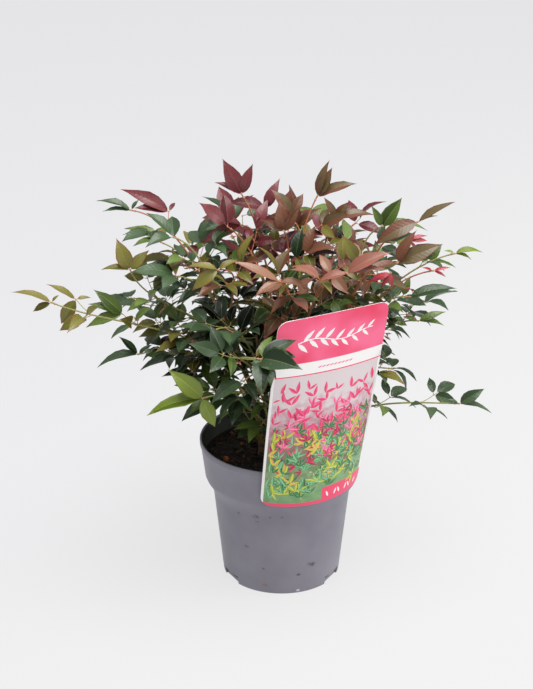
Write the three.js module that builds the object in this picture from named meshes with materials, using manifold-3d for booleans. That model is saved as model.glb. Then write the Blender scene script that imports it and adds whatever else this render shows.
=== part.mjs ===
// Heavenly bamboo (Nandina domestica), a dwarf form, growing in a nursery pot
// with a hanging care card. Millimetres, +Z up, front towards -Y.
// The origin is the centre of the pot's flat underside.
import * as THREE from 'three';
import { mergeVertices } from 'three/addons/utils/BufferGeometryUtils.js';
import Module from 'manifold-3d';

const wasm = await Module();
wasm.setup();

// ---- Driving dimensions -------------------------------------------------
const CLEAR = 0.3; // gap that neighbouring pieces keep
const ROOM_SLACK = 0.05; // more of it round the blocks of room
const FACET_SLACK = 0.1; // more of it round faceted round pieces
const WELD = 1e-4; // corners this near to each other are one corner
const UP = new THREE.Vector3(0, 0, 1);

// Radii and heights of the pot. Its shoulder curves from the body out to the collar.
const POT = {
  height: 153, rim: 85, collarFoot: 79.8, collarZ: 113, body: 70.9, bodyZ: 93,
  foot: 61.4, chamfer: 1.5, wall: 1.8, floor: 2.5, facets: 32,
  shoulderOut: 1.5, shoulderUp: 7, shoulderIn: 1.6, shoulderDown: 4,
};
// Leaves keep this far from the pot's wall and rim and from the soil.
const POT_ROOM = { inside: 1, outside: 1.5, above: 1, soil: 1.5, samples: 4 };
const NOTCH = { count: 3, first: 90, width: 27, height: 9, depth: 4 };
const SOIL = { top: 133 };

// The care card stands outward from the rim, bent round the pot at its foot
// and nearly flat at its top; lean and roll in degrees.
const CARD = {
  azimuth: -64, width: 119, height: 221, thick: 0.8, corner: 10, columns: 8, rows: 4,
  footBend: 86, topBend: 2500, foot: 113.7, rimReach: 87.2, lean: 8, roll: 1.1,
};
const TONGUE = { width: 24, thick: 0.8, reach: 143, inset: 3.4 };

// Canes rise from a clump: direction of lean, reach and height of the tip. Each
// has a flared foot at the soil, and its tip points up at this pitch.
const CANE = {
  foot: SOIL.top + CLEAR, ring: 21, flare: 4.2, base: 2.5, tip: 1.5, pitch: 72, sides: 6, steps: 7,
};
const CANES = [
  { name: 'cane_centre', azimuth: 270, ring: 2, reach: 8, top: 338 },
  { name: 'cane_left', azimuth: 190, reach: 62, top: 305 },
  { name: 'cane_front_left', azimuth: 240, reach: 52, top: 285 },
  { name: 'cane_front_right', azimuth: 300, reach: 46, top: 300 },
  { name: 'cane_right', azimuth: 350, reach: 64, top: 305 },
  { name: 'cane_back_right', azimuth: 50, reach: 58, top: 310 },
  { name: 'cane_back_left', azimuth: 130, reach: 60, top: 312 },
];

// A spray is one compound leaf: a wiry stem from a cane to an end joint, with
// pairs of side stalks at its lower joints. Radii, lengths and angles of its parts:
const SPRAY = {
  base: 1.7, tip: 1.25, steps: 6, root: 4, bare: 0.25, joint: 36, jointGrowth: 0.12,
  stalk: 0.62, stalkLength: 20, stalkSpread: 58, stalkStart: 0.75, stalkGrowth: 0.3,
  hub: 0.5, neck: 1.1, neckBack: 0.6, neckSide: 0.8, nearSize: 0.85, farSize: 0.92,
};
// Leaflets of a sprig, by the turn from its line and the share of the full length.
const LEAFLETS = [[-60, 0.82], [0, 1], [60, 0.82]];
// Shares of a leaflet's length, except for the thickness and root in millimetres.
const LEAF = { widest: 0.4, width: 0.4, thick: 0.9, root: 0.8, fold: 0.07, arch: 0.06, droop: 0.08 };

// A stem starts on one of the nearest canes, at shares of its end's height and
// reach, and rises less steeply the farther it goes. Pulls are shares of its span.
const STEM = {
  canes: 3, height: 0.6, reach: 0.1, lowest: 0.08, highest: 0.95, lift: 70, ease: 0.16,
  flattest: 12, steepest: 62, startPull: 0.38, endPull: 0.3, endBow: 0.4,
};
// Starts along the cane and side bows that a stem may take to stay clear.
const STARTS = [0, 0.06, -0.06, 0.12, -0.12, 0.18, -0.18, 0.24, -0.24, 0.32, -0.32];
const BOWS = [0, 14, -14, 28, -28, 44, -44];
// Ways a leaflet may turn aside from a neighbour: sideways, upwards and its length.
const TURNS = [
  [0, 0, 1], [14, 0, 1], [-14, 0, 1], [0, 16, 1], [0, -16, 1], [26, 8, 0.85], [-26, 8, 0.85],
];

// Chance in the growth: the least of each value and how much may be added, or
// the full width of its swing.
const CHANCE = {
  faceSwing: 40, lean: 0.45, leanMore: 0.25, tilt: 0.3, leafSwing: 14, leaf: 0.88, leafMore: 0.24,
  stalkSwing: 14, rise: 0.12, riseSwing: 0.25, stalk: 0.85, stalkMore: 0.3, seeds: 1e6,
};
const LEHMER = { modulus: 2147483647, factor: 48271, seedFactor: 7919, seedShift: 104729 };

const TINTS = {
  dark: 0x2f4a33, green: 0x4a6b3a, lime: 0x8fa548, olive: 0x6d6a3a,
  bronze: 0x7d4a3c, burgundy: 0x7a3643, salmon: 0xa8604e, scarlet: 0xc2384a,
};

// A row of values as an object with these names.
function named(row, columns) {
  return Object.fromEntries(row.map((value, i) => [columns[i], value]));
}

// Each spray by the place of its end joint: direction from the pot's axis,
// reach and height, then the pitch and direction (aim) of the last stretch, the
// number of lower joints, the length of a leaflet, its tint and, where it isn't
// the azimuth, the direction that the blades face.
const COLUMNS = ['name', 'azimuth', 'reach', 'height', 'pitch', 'aim', 'pairs', 'leaf', 'tint', 'face'];
const SPRAYS = [
  ['far_left', 195, 232, 326, 22, 176, 3, 40, 'green'],
  ['left_fork', 191, 152, 348, 72, 185, 1, 33, 'green'],
  ['left_low', 188, 146, 254, -16, 182, 2, 38, 'dark'],
  ['upper_left_red', 176, 150, 396, 8, 182, 2, 42, 'burgundy'],
  ['upper_left_green', 190, 108, 378, 12, 190, 1, 40, 'dark'],
  ['left_mid', 200, 112, 345, 5, 195, 2, 40, 'dark'],
  ['left_fan', 203, 104, 262, -25, 200, 2, 40, 'dark'],
  ['lime_trio', 232, 126, 242, -12, 192, 1, 50, 'lime'],
  ['low_left', 205, 78, 205, -35, 205, 1, 36, 'dark'],
  ['low_front', 252, 68, 196, -40, 235, 1, 34, 'green'],
  ['front_left', 236, 118, 312, -8, 225, 2, 42, 'dark'],
  ['front_grey', 262, 150, 305, -2, 350, 1, 44, 'dark'],
  ['front_centre', 250, 110, 262, -20, 240, 2, 40, 'dark'],
  ['low_centre', 240, 90, 230, -28, 225, 1, 38, 'dark'],
  ['left_lower', 190, 86, 226, -22, 190, 2, 38, 'dark'],
  ['amber', 233, 102, 368, 6, 215, 1, 40, 'olive'],
  ['front_salmon', 268, 96, 362, 4, 265, 2, 42, 'salmon'],
  ['top_red', 180, 40, 416, 57, 182, 2, 35, 'burgundy', 275],
  ['crown_red', 207, 60, 392, 38, 200, 1, 38, 'burgundy', 270],
  ['top_green', 155, 55, 380, 40, 165, 1, 38, 'dark', 260],
  ['top_bronze', 40, 20, 378, 75, 200, 1, 38, 'bronze', 270],
  ['top_round', 274, 24, 386, 45, 250, 1, 40, 'bronze', 270],
  ['top_right', 0, 34, 414, 60, 20, 2, 36, 'bronze', 275],
  ['top_right_low', 25, 60, 382, 45, 10, 1, 36, 'bronze', 280],
  ['back_right_red', 32, 88, 370, 35, 10, 1, 36, 'burgundy', 290],
  ['right_green', 354, 98, 386, 22, 345, 1, 38, 'dark', 280],
  ['far_bronze', 347, 134, 398, 16, 352, 2, 40, 'bronze'],
  ['right_olive', 324, 134, 374, 8, 335, 2, 40, 'salmon'],
  ['right_tip', 2, 172, 352, 14, 355, 2, 36, 'green'],
  ['young_red', 350, 150, 346, 12, 350, 2, 24, 'scarlet'],
  ['front_salmon_right', 299, 122, 374, 2, 310, 2, 42, 'salmon'],
  ['right_dark', 349, 128, 318, -4, 352, 2, 40, 'dark'],
  ['right_pale', 2, 138, 280, -6, 358, 2, 36, 'green'],
  ['right_fan', 352, 112, 236, -22, 348, 2, 36, 'dark'],
  ['right_long', 349, 182, 206, 3, 356, 3, 36, 'dark'],
].map((row) => named(row, COLUMNS));

// The far side is filled by tiers of sprays, spread evenly between two directions.
const TIER_COLUMNS = ['name', 'count', 'from', 'to', 'reach', 'height', 'pitch', 'pairs', 'tint'];
const TIERS = [
  ['back_top', 2, 85, 130, 76, 356, 32, 1, 'burgundy'],
  ['back_upper', 4, 38, 148, 148, 326, 10, 2, 'green'],
  ['back_middle', 4, 26, 160, 166, 272, -4, 2, 'dark'],
  ['back_low', 4, 35, 165, 112, 216, -22, 2, 'dark'],
].map((row) => named(row, TIER_COLUMNS));
const TIER_LEAF = 40;
const TIER_STEP = 12; // every other spray of a tier stands this much higher

// ---- Small helpers ------------------------------------------------------
const rad = THREE.MathUtils.degToRad;
const { clamp, lerp: mix } = THREE.MathUtils;

function vector(x, y, z) {
  return new THREE.Vector3(x, y, z);
}

function polar(azimuth, reach, height) {
  return vector(reach * Math.cos(rad(azimuth)), reach * Math.sin(rad(azimuth)), height);
}

function heading(azimuth, pitch) {
  return polar(azimuth, Math.cos(rad(pitch)), Math.sin(rad(pitch)));
}

// A sum of vectors, each times its own length.
function along(start, ...terms) {
  const sum = start.clone();
  for (const [direction, length] of terms) {
    sum.addScaledVector(direction, length);
  }
  return sum;
}

// Repeatable numbers between 0 and 1 (Lehmer's generator).
function seeded(seed) {
  let state = (seed * LEHMER.seedFactor + LEHMER.seedShift) % LEHMER.modulus;
  return () => {
    state = (state * LEHMER.factor) % LEHMER.modulus;
    return state / LEHMER.modulus;
  };
}

// ---- Solids -------------------------------------------------------------
function toSolid(geometry) {
  const bare = geometry.clone();
  bare.deleteAttribute('normal');
  bare.deleteAttribute('uv');
  const merged = mergeVertices(bare, WELD);
  return new wasm.Manifold(new wasm.Mesh({
    numProp: 3,
    vertProperties: new Float32Array(merged.attributes.position.array),
    triVerts: new Uint32Array(merged.index.array),
  }));
}

function toGeometry(solid) {
  const mesh = solid.getMesh();
  const geometry = new THREE.BufferGeometry();
  geometry.setAttribute('position', new THREE.BufferAttribute(mesh.vertProperties, 3));
  geometry.setIndex(new THREE.BufferAttribute(mesh.triVerts, 1));
  return geometry;
}

// The largest connected body: loose scraps and sealed hollows fall away.
function mainBody(solid) {
  const bodies = solid.decompose();
  return bodies.reduce((best, body) => (body.volume() > best.volume() ? body : best));
}

// A tapering limb along a curve, with flat ends square to the curve.
function limb(curve, radiusAt, sides, steps) {
  const corners = [];
  for (let i = 0; i < sides; i += 1) {
    const angle = (i * 2 * Math.PI) / sides;
    corners.push(new THREE.Vector2(Math.cos(angle), Math.sin(angle)));
  }
  const bar = { depth: 1, steps, bevelEnabled: false };
  const geometry = new THREE.ExtrudeGeometry(new THREE.Shape(corners), bar);
  const frames = curve.computeFrenetFrames(steps, false);
  const place = geometry.attributes.position;
  for (let i = 0; i < place.count; i += 1) {
    const step = Math.round(place.getZ(i) * steps);
    const radius = radiusAt(step / steps);
    const point = along(
      curve.getPointAt(step / steps),
      [frames.normals[step], radius * place.getX(i)],
      [frames.binormals[step], radius * place.getY(i)],
    );
    place.setXYZ(i, point.x, point.y, point.z);
  }
  return geometry;
}

// ---- Room between pieces ------------------------------------------------
// A convex block of room: its corners, edge directions and face directions.
function block(corners, edges, faces) {
  const centre = corners.reduce((sum, p) => sum.add(p), vector(0, 0, 0));
  centre.divideScalar(corners.length);
  const radius = Math.max(...corners.map((p) => p.distanceTo(centre)));
  return { corners, edges, faces, centre, radius };
}

function gapAlong(axis, a, b) {
  let [lowA, highA, lowB, highB] = [Infinity, -Infinity, Infinity, -Infinity];
  for (const p of a.corners) {
    const d = p.dot(axis);
    lowA = Math.min(lowA, d);
    highA = Math.max(highA, d);
  }
  for (const p of b.corners) {
    const d = p.dot(axis);
    lowB = Math.min(lowB, d);
    highB = Math.max(highB, d);
  }
  return Math.max(lowB - highA, lowA - highB);
}

const PARALLEL = 1e-6; // edges with a smaller squared cross product say nothing

// True where some direction shows more than the wanted gap between two blocks.
function apart(a, b, gap) {
  if (a.centre.distanceTo(b.centre) > a.radius + b.radius + gap) return true;
  if (a.faces.some((axis) => gapAlong(axis, a, b) > gap)) return true;
  if (b.faces.some((axis) => gapAlong(axis, a, b) > gap)) return true;
  const axis = vector(0, 0, 0);
  for (const p of a.edges) {
    for (const q of b.edges) {
      axis.crossVectors(p, q);
      if (axis.lengthSq() > PARALLEL && gapAlong(axis.normalize(), a, b) > gap) return true;
    }
  }
  return false;
}

const STEEP = 0.9; // a line that rises more than this is no longer measured against UP

// One block for each straight stretch of a limb, a little wider than the limb.
function limbBlocks(curve, radiusAt, steps) {
  const blocks = [];
  for (let i = 0; i < steps; i += 1) {
    const a = curve.getPointAt(i / steps);
    const b = curve.getPointAt((i + 1) / steps);
    const line = b.clone().sub(a).normalize();
    const aside = Math.abs(line.z) < STEEP ? UP : vector(1, 0, 0);
    const side = vector(0, 0, 0).crossVectors(line, aside).normalize();
    const rise = vector(0, 0, 0).crossVectors(side, line);
    const corners = [];
    for (const [end, r] of [[a, radiusAt(i / steps)], [b, radiusAt((i + 1) / steps)]]) {
      for (const [s, t] of [[-1, -1], [-1, 1], [1, -1], [1, 1]]) {
        corners.push(along(end, [side, s * r], [rise, t * r]));
      }
    }
    blocks.push(block(corners, [line, side, rise], [line, side, rise]));
  }
  return blocks;
}

// Room inside the pot's wall or below its rim is not free for leaves.
function inPot(point) {
  const reach = Math.hypot(point.x, point.y);
  const overSoil = reach < POT.collarFoot - POT_ROOM.inside && point.z > SOIL.top + POT_ROOM.soil;
  return point.z < POT.height + POT_ROOM.above && reach < POT.rim + POT_ROOM.outside && !overSoil;
}

function meetsPot(piece) {
  const { corners } = piece;
  const shares = Array.from({ length: POT_ROOM.samples }, (_, i) => i / POT_ROOM.samples);
  return corners.some((p, i) => {
    const q = corners[(i + 3) % corners.length];
    return shares.some((t) => inPot(p.clone().lerp(q, t)));
  });
}

function isFree(piece, taken) {
  return !meetsPot(piece) && taken.every((other) => apart(piece, other, CLEAR + ROOM_SLACK));
}

// ---- Pot, soil and card -------------------------------------------------
function lathe(outline, facets) {
  const points = outline.map(([r, z]) => new THREE.Vector2(r, z));
  return new THREE.LatheGeometry(points, facets).rotateX(Math.PI / 2);
}

// The pot's outline from its foot up to its rim, outside.
function potOutline() {
  const { height, rim, collarFoot, collarZ, body, bodyZ, foot, chamfer } = POT;
  const shoulder = [
    [body + POT.shoulderOut, bodyZ + POT.shoulderUp],
    [collarFoot - POT.shoulderIn, collarZ - POT.shoulderDown],
  ];
  return [[foot, chamfer], [body, bodyZ], ...shoulder, [collarFoot, collarZ], [rim, height]];
}

// The same outline, set in by a wall and cut level at its two ends.
function lining(wall, bottom, top) {
  const outline = potOutline().map(([r, z]) => [r - wall, z]);
  const level = (z) => {
    const i = Math.min(outline.length - 1, outline.findIndex(([, above]) => above > z));
    const [[r0, z0], [r1, z1]] = [outline[i - 1], outline[i]];
    return [mix(r0, r1, (z - z0) / (z1 - z0)), z];
  };
  const between = outline.filter(([, z]) => z > bottom && z < top);
  return [level(bottom), ...between, top < POT.height ? level(top) : outline.at(-1)];
}

function makePot() {
  const { height, foot, chamfer, wall, floor, facets } = POT;
  const inside = lining(wall, floor, height).reverse();
  const outline = [[0, 0], [foot - chamfer, 0], ...potOutline(), ...inside, [0, floor]];
  let solid = toSolid(lathe(outline, facets));
  for (let i = 0; i < NOTCH.count; i += 1) {
    const azimuth = NOTCH.first + (i * 360) / NOTCH.count;
    const cutter = new THREE.BoxGeometry(NOTCH.depth * 4, NOTCH.width, NOTCH.height * 2);
    cutter.translate(foot + NOTCH.depth, 0, 0).rotateZ(rad(azimuth));
    solid = solid.subtract(toSolid(cutter));
  }
  return toGeometry(solid);
}

function makeSoil() {
  const bottom = POT.floor + CLEAR;
  const outline = lining(POT.wall + CLEAR + FACET_SLACK, bottom, SOIL.top);
  return lathe([[0, bottom], ...outline, [0, SOIL.top]], POT.facets);
}

// A point of the bent card: u across from -1 to 1, v up from 0 to 1, and out
// through its thickness.
function cardPoint(u, v, out) {
  const ahead = heading(CARD.azimuth, 0);
  const rise = heading(CARD.azimuth, 90 - CARD.lean);
  const facing = heading(CARD.azimuth, -CARD.lean);
  const across = vector(-ahead.y, ahead.x, 0).applyAxisAngle(facing, rad(CARD.roll));
  const reach = CARD.rimReach - (POT.height - CARD.foot) * Math.tan(rad(CARD.lean));
  const middle = along(polar(CARD.azimuth, reach, CARD.foot), [rise, v * CARD.height]);
  const back = vector(0, 0, 0).crossVectors(rise, across);
  const bend = 1 / mix(1 / CARD.footBend, 1 / CARD.topBend, v);
  const angle = (u * CARD.width) / 2 / bend;
  const radius = bend + out;
  return along(middle, [across, radius * Math.sin(angle)], [back, bend - radius * Math.cos(angle)]);
}

// Rounded corners: the card is shorter in its outermost stretch.
function cardTrim(u) {
  const half = CARD.width / 2;
  const past = Math.max(0, Math.abs(u) * half - (half - CARD.corner)) / CARD.corner;
  return (CARD.corner * (1 - Math.sqrt(1 - past * past))) / CARD.height;
}

function makeCard() {
  const sheet = new THREE.BoxGeometry(2, 1, 1, CARD.columns, CARD.rows, 1);
  const place = sheet.attributes.position;
  for (let i = 0; i < place.count; i += 1) {
    const u = place.getX(i);
    const trim = cardTrim(u);
    const point = cardPoint(u, mix(trim, 1 - trim, place.getY(i) + 0.5), place.getZ(i) * CARD.thick);
    place.setXYZ(i, point.x, point.y, point.z);
  }
  return sheet;
}

// The card's tongue goes over the rim and down inside it.
function makeTongue() {
  const { thick, width, reach } = TONGUE;
  const over = POT.height + CLEAR;
  const front = CARD.rimReach;
  const inner = POT.rim - POT.wall - TONGUE.inset;
  const hook = new THREE.Shape([
    [front, over], [front, over + thick], [inner - thick, over + thick], [inner - thick, reach],
    [inner, reach], [inner, over],
  ].map(([r, z]) => new THREE.Vector2(r, z)));
  const strip = new THREE.ExtrudeGeometry(hook, { depth: width, steps: 1, bevelEnabled: false });
  return strip.translate(0, 0, -width / 2).rotateX(Math.PI / 2).rotateZ(rad(CARD.azimuth));
}

function makeLabel() {
  return toGeometry(mainBody(toSolid(makeCard()).add(toSolid(makeTongue()))));
}

function cardBlocks() {
  const blocks = [];
  for (let c = 0; c < CARD.columns; c += 1) {
    for (let r = 0; r < CARD.rows; r += 1) {
      const us = [c, c + 1].map((n) => (n / CARD.columns) * 2 - 1);
      const vs = [r, r + 1].map((n) => n / CARD.rows);
      const corners = [];
      for (const u of us) {
        for (const v of vs) {
          corners.push(cardPoint(u, v, CARD.thick / 2), cardPoint(u, v, -CARD.thick / 2));
        }
      }
      const across = corners[4].clone().sub(corners[0]).normalize();
      const rise = corners[2].clone().sub(corners[0]).normalize();
      const out = vector(0, 0, 0).crossVectors(across, rise).normalize();
      blocks.push(block(corners, [across, rise, out], [across, rise, out]));
    }
  }
  return blocks;
}

// ---- Canes --------------------------------------------------------------
function growCane(row) {
  const foot = polar(row.azimuth, row.ring ?? CANE.ring, CANE.foot);
  const tip = polar(row.azimuth, row.reach, row.top);
  const third = (row.top - CANE.foot) / 3;
  const curve = new THREE.CubicBezierCurve3(
    foot, along(foot, [UP, third]), along(tip, [heading(row.azimuth, CANE.pitch), -third]), tip,
  );
  const flareAt = (t) => (CANE.flare - CANE.base) * Math.max(0, 1 - t * CANE.steps);
  const radiusAt = (t) => mix(CANE.base, CANE.tip, t) + flareAt(t);
  return { ...row, foot, tip, curve, radiusAt, blocks: limbBlocks(curve, radiusAt, CANE.steps) };
}

// ---- Sprays -------------------------------------------------------------
// A leaflet: seven corners round a folded, arched blade with a short root edge.
function leafShape(base, line, up, length) {
  const side = vector(0, 0, 0).crossVectors(up, line).normalize();
  const normal = vector(0, 0, 0).crossVectors(line, side);
  const at = (l, s, n) => along(base, [line, l * length], [side, s * length], [normal, n * length]);
  const half = LEAF.width / 2;
  const rim = LEAF.arch + LEAF.fold;
  const thick = LEAF.thick / 2 / length;
  const root = LEAF.root / 2 / length;
  const corners = [
    at(0, 0, root), at(0, 0, -root), at(LEAF.widest, half, rim), at(LEAF.widest, -half, rim),
    at(LEAF.widest, 0, LEAF.arch + thick), at(LEAF.widest, 0, LEAF.arch - thick), at(1, 0, -LEAF.droop),
  ];
  const ends = [[0, 2], [0, 3], [2, 6], [3, 6], [2, 3]];
  const edges = ends.map(([i, j]) => corners[j].clone().sub(corners[i]).normalize());
  const halves = [[0, 2], [1, 3]].map(([i, j]) => vector(0, 0, 0).crossVectors(edges[i], edges[j]));
  const faces = [normal, side, ...halves.map((face) => face.normalize())];
  return block(corners, edges, faces);
}

// A sprig as one closed body: a stalk from its tail to a hub, where up to three
// leaflets fan out from right to left, with a notch between neighbours.
function sprigSolid({ hub, tail, line, up, leaves }) {
  const { stalk, neck, neckBack, neckSide } = SPRAY;
  const side = vector(0, 0, 0).crossVectors(up, line);
  const back = tail.clone().sub(hub);
  const corners = [];
  const faces = [];
  const add = (...terms) => corners.push(along(hub, ...terms)) - 1;
  const [hubTop, hubFoot] = [1, -1].map((n) => add([up, n * SPRAY.hub]));
  const [endTop, endFoot] = [1, -1].map((n) => add([back, 1], [up, n * stalk]));
  const [endLeft, endRight] = [1, -1].map((n) => add([back, 1], [side, n * stalk]));
  const [neckLeft, neckRight] = [1, -1].map(
    (n) => add([line, -neckBack * neck], [side, n * neckSide * neck]),
  );
  let from = neckRight;
  leaves.forEach((leaf, i) => {
    const next = leaves[i + 1];
    const to = next ? add([leaf.line.clone().add(next.line).normalize(), neck]) : neckLeft;
    const [left, right, top, foot, tip] = leaf.corners.slice(2).map((p) => corners.push(p) - 1);
    const upper = [from, right, tip, left, to, hubTop];
    const lower = [hubFoot, to, left, tip, right, from];
    for (const [middle, ring] of [[top, upper], [foot, lower]]) {
      ring.forEach((corner, k) => faces.push([middle, corner, ring[(k + 1) % ring.length]]));
    }
    from = to;
  });
  faces.push(
    [endRight, neckRight, hubTop], [endRight, hubTop, endTop], [endTop, hubTop, neckLeft],
    [endTop, neckLeft, endLeft], [endRight, hubFoot, neckRight], [endRight, endFoot, hubFoot],
    [endFoot, neckLeft, hubFoot], [endFoot, endLeft, neckLeft], [endRight, endTop, endLeft],
    [endRight, endLeft, endFoot],
  );
  const geometry = new THREE.BufferGeometry();
  const place = corners.flatMap((p) => p.toArray());
  geometry.setAttribute('position', new THREE.Float32BufferAttribute(place, 3));
  geometry.setIndex(faces.flat());
  return toSolid(geometry);
}

// A leaflet in the first free way, or none.
function findLeaf(spray, hub, line, up, length, taken) {
  const side = vector(0, 0, 0).crossVectors(up, line).normalize();
  for (const [yaw, lift, scale] of TURNS) {
    const out = line.clone().applyAxisAngle(up, rad(yaw)).applyAxisAngle(side, rad(-lift));
    const leaf = leafShape(hub, out, up, length * scale);
    const blade = { ...leaf, corners: leaf.corners.slice(2) };
    if (isFree(leaf, taken) && spray.blades.every((other) => apart(blade, other, 0))) {
      spray.blades.push(blade);
      return [{ ...leaf, line: out }];
    }
  }
  return [];
}

// Up-direction of blades: mostly skywards, leaning to the side that they face.
function bladeUp(line, face, random) {
  const lean = heading(face + CHANCE.faceSwing * (random() - 0.5), 0);
  const share = CHANCE.lean + CHANCE.leanMore * random();
  const up = along(UP, [lean, share], [vector(random() - 0.5, random() - 0.5, 0), CHANCE.tilt]);
  return up.addScaledVector(line, -up.dot(line)).normalize();
}

// A stalk with three leaflets at its end: one straight on and one to each side.
function growSprig(spray, tail, hub, size, random, taken) {
  const line = hub.clone().sub(tail).normalize();
  const up = bladeUp(line, spray.face, random);
  const leaves = LEAFLETS.flatMap(([turn, share]) => {
    const out = line.clone().applyAxisAngle(up, rad(turn + CHANCE.leafSwing * (random() - 0.5)));
    const length = size * share * (CHANCE.leaf + CHANCE.leafMore * random());
    return findLeaf(spray, hub, out, up, length, taken);
  });
  if (leaves.length > 0) spray.sprigs.push({ hub, tail, line, up, leaves });
}

// A pair of side stalks, each ending in a sprig.
function growPair(spray, { at, line }, joint, random, taken) {
  const up = bladeUp(line, spray.face, random);
  for (const hand of [1, -1]) {
    const spread = SPRAY.stalkSpread + CHANCE.stalkSwing * (random() - 0.5);
    const out = line.clone().applyAxisAngle(up, rad(hand * spread));
    out.addScaledVector(UP, CHANCE.rise + CHANCE.riseSwing * (random() - 0.5)).normalize();
    const grown = SPRAY.stalkLength * (SPRAY.stalkStart + SPRAY.stalkGrowth * joint);
    const hub = along(at, [out, grown * (CHANCE.stalk + CHANCE.stalkMore * random())]);
    const fresh = seeded(Math.floor(random() * CHANCE.seeds));
    const [room] = limbBlocks(new THREE.LineCurve3(at, hub), () => SPRAY.stalk, 1);
    if (isFree(room, taken)) {
      const size = spray.leaf * (joint > 1 ? SPRAY.farSize : SPRAY.nearSize);
      growSprig(spray, at, hub, size, fresh, taken);
    }
  }
}

// A stem from its cane out to its end joint.
function stemCurve(row, cane, shift, bow) {
  const end = polar(row.azimuth, row.reach, row.height);
  const rise = STEM.height * (row.height - CANE.foot) - STEM.reach * row.reach;
  const share = rise / (cane.top - CANE.foot) + shift;
  const start = cane.curve.getPointAt(clamp(share, STEM.lowest, STEM.highest));
  const span = end.distanceTo(start);
  const away = heading(row.azimuth, 0);
  const sideways = vector(-away.y, away.x, 0);
  const pitch = STEM.lift - STEM.ease * row.reach + STEM.ease * (row.height - start.z);
  const leaving = heading(row.azimuth, clamp(pitch, STEM.flattest, STEM.steepest));
  const arriving = heading(row.aim, row.pitch);
  return new THREE.CubicBezierCurve3(
    start, along(start, [leaving, span * STEM.startPull], [sideways, bow]),
    along(end, [arriving, -span * STEM.endPull], [sideways, bow * STEM.endBow]), end,
  );
}

function findStem(row, canes, taken) {
  const radiusAt = (s) => mix(SPRAY.base, SPRAY.tip, s);
  for (const cane of canes.slice(0, STEM.canes)) {
    const others = canes.filter((other) => other !== cane);
    const clearOf = [...taken, ...others.flatMap((other) => other.blocks)];
    for (const bow of BOWS) {
      for (const shift of STARTS) {
        const curve = stemCurve(row, cane, shift, bow);
        const blocks = limbBlocks(curve, radiusAt, SPRAY.steps);
        const [root, ...rest] = blocks;
        const ahead = [...clearOf, ...cane.blocks];
        const free = isFree(root, clearOf) && rest.every((stretch) => isFree(stretch, ahead));
        if (free) return { cane, curve, radiusAt, blocks };
      }
    }
  }
  throw new Error(`no free way for the stem of ${row.name}`);
}

// The place on the stem's straight stretches a given length back from its end
// joint, with the stem's direction there; nothing where the stem is too short.
function jointOn(curve, length) {
  const t = (1 - length / curve.getLength()) * SPRAY.steps;
  const step = Math.floor(t);
  if (t < SPRAY.steps * SPRAY.bare) return null;
  const [a, b] = [step, step + 1].map((n) => curve.getPointAt(n / SPRAY.steps));
  return { at: a.clone().lerp(b, t - step), line: b.sub(a).normalize() };
}

// First every stem finds its way from a near cane to its end joint.
function growStem(row, canes, taken) {
  const end = polar(row.azimuth, row.reach, row.height);
  const byDistance = [...canes].sort((a, b) => a.tip.distanceTo(end) - b.tip.distanceTo(end));
  const stem = findStem(row, byDistance, taken);
  return { ...row, end, stem, face: row.face ?? row.azimuth, sprigs: [], blades: [] };
}

// Then the leaves fill the room that the stems and earlier leaves have left.
function growLeaves(spray, index, taken) {
  const random = seeded(index + 1);
  const { curve } = spray.stem;
  const tail = jointOn(curve, SPRAY.root).at;
  growSprig(spray, tail, spray.end, spray.leaf, random, taken);
  for (let joint = 1; joint <= spray.pairs; joint += 1) {
    const place = jointOn(curve, SPRAY.joint * (joint + SPRAY.jointGrowth * joint * joint));
    if (place) growPair(spray, place, joint, random, taken);
  }
  return spray.sprigs.flatMap(({ tail: from, hub, leaves }) => [
    ...limbBlocks(new THREE.LineCurve3(from, hub), () => SPRAY.stalk, 1), ...leaves,
  ]);
}

function spraySolid({ stem, sprigs }) {
  const body = toSolid(limb(stem.curve, stem.radiusAt, 3, SPRAY.steps));
  const grown = wasm.Manifold.union([body, ...sprigs.map(sprigSolid)]);
  const { curve, radiusAt } = stem.cane;
  const sleeve = toSolid(limb(curve, (t) => radiusAt(t) + CLEAR + FACET_SLACK, CANE.sides, CANE.steps));
  return toGeometry(mainBody(grown.subtract(sleeve)));
}

function tierRows() {
  return TIERS.flatMap((tier) => Array.from({ length: tier.count }, (_, i) => {
    const azimuth = mix(tier.from, tier.to, i / (tier.count - 1));
    const rise = i % 2 === 0 ? 0 : TIER_STEP;
    const name = `${tier.name}_${i + 1}`;
    return { ...tier, name, azimuth, aim: azimuth, height: tier.height + rise, leaf: TIER_LEAF };
  }));
}

// ---- The whole plant ----------------------------------------------------
const finishes = {
  pot: new THREE.MeshStandardMaterial({ color: 0x77747f, roughness: 0.6 }),
  soil: new THREE.MeshStandardMaterial({ color: 0x2b211c, roughness: 1 }),
  card: new THREE.MeshStandardMaterial({ color: 0xd9566f, roughness: 0.45 }),
  cane: new THREE.MeshStandardMaterial({ color: 0x6e5744, roughness: 0.9 }),
};
for (const [tint, color] of Object.entries(TINTS)) {
  finishes[tint] = new THREE.MeshStandardMaterial({ color, roughness: 0.45, side: THREE.DoubleSide });
}

const plant = new THREE.Group();

function addNode(name, geometry, finish) {
  const mesh = new THREE.Mesh(geometry, finishes[finish]);
  mesh.name = name;
  plant.add(mesh);
}

addNode('pot', makePot(), 'pot');
addNode('soil', makeSoil(), 'soil');
addNode('label', makeLabel(), 'card');

const canes = CANES.map(growCane);
for (const cane of canes) {
  addNode(cane.name, limb(cane.curve, cane.radiusAt, CANE.sides, CANE.steps), 'cane');
}

const card = cardBlocks();
const sprays = [];
for (const row of [...SPRAYS, ...tierRows()]) {
  const stems = sprays.flatMap((spray) => spray.stem.blocks);
  sprays.push(growStem(row, canes, [...card, ...stems]));
}

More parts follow.
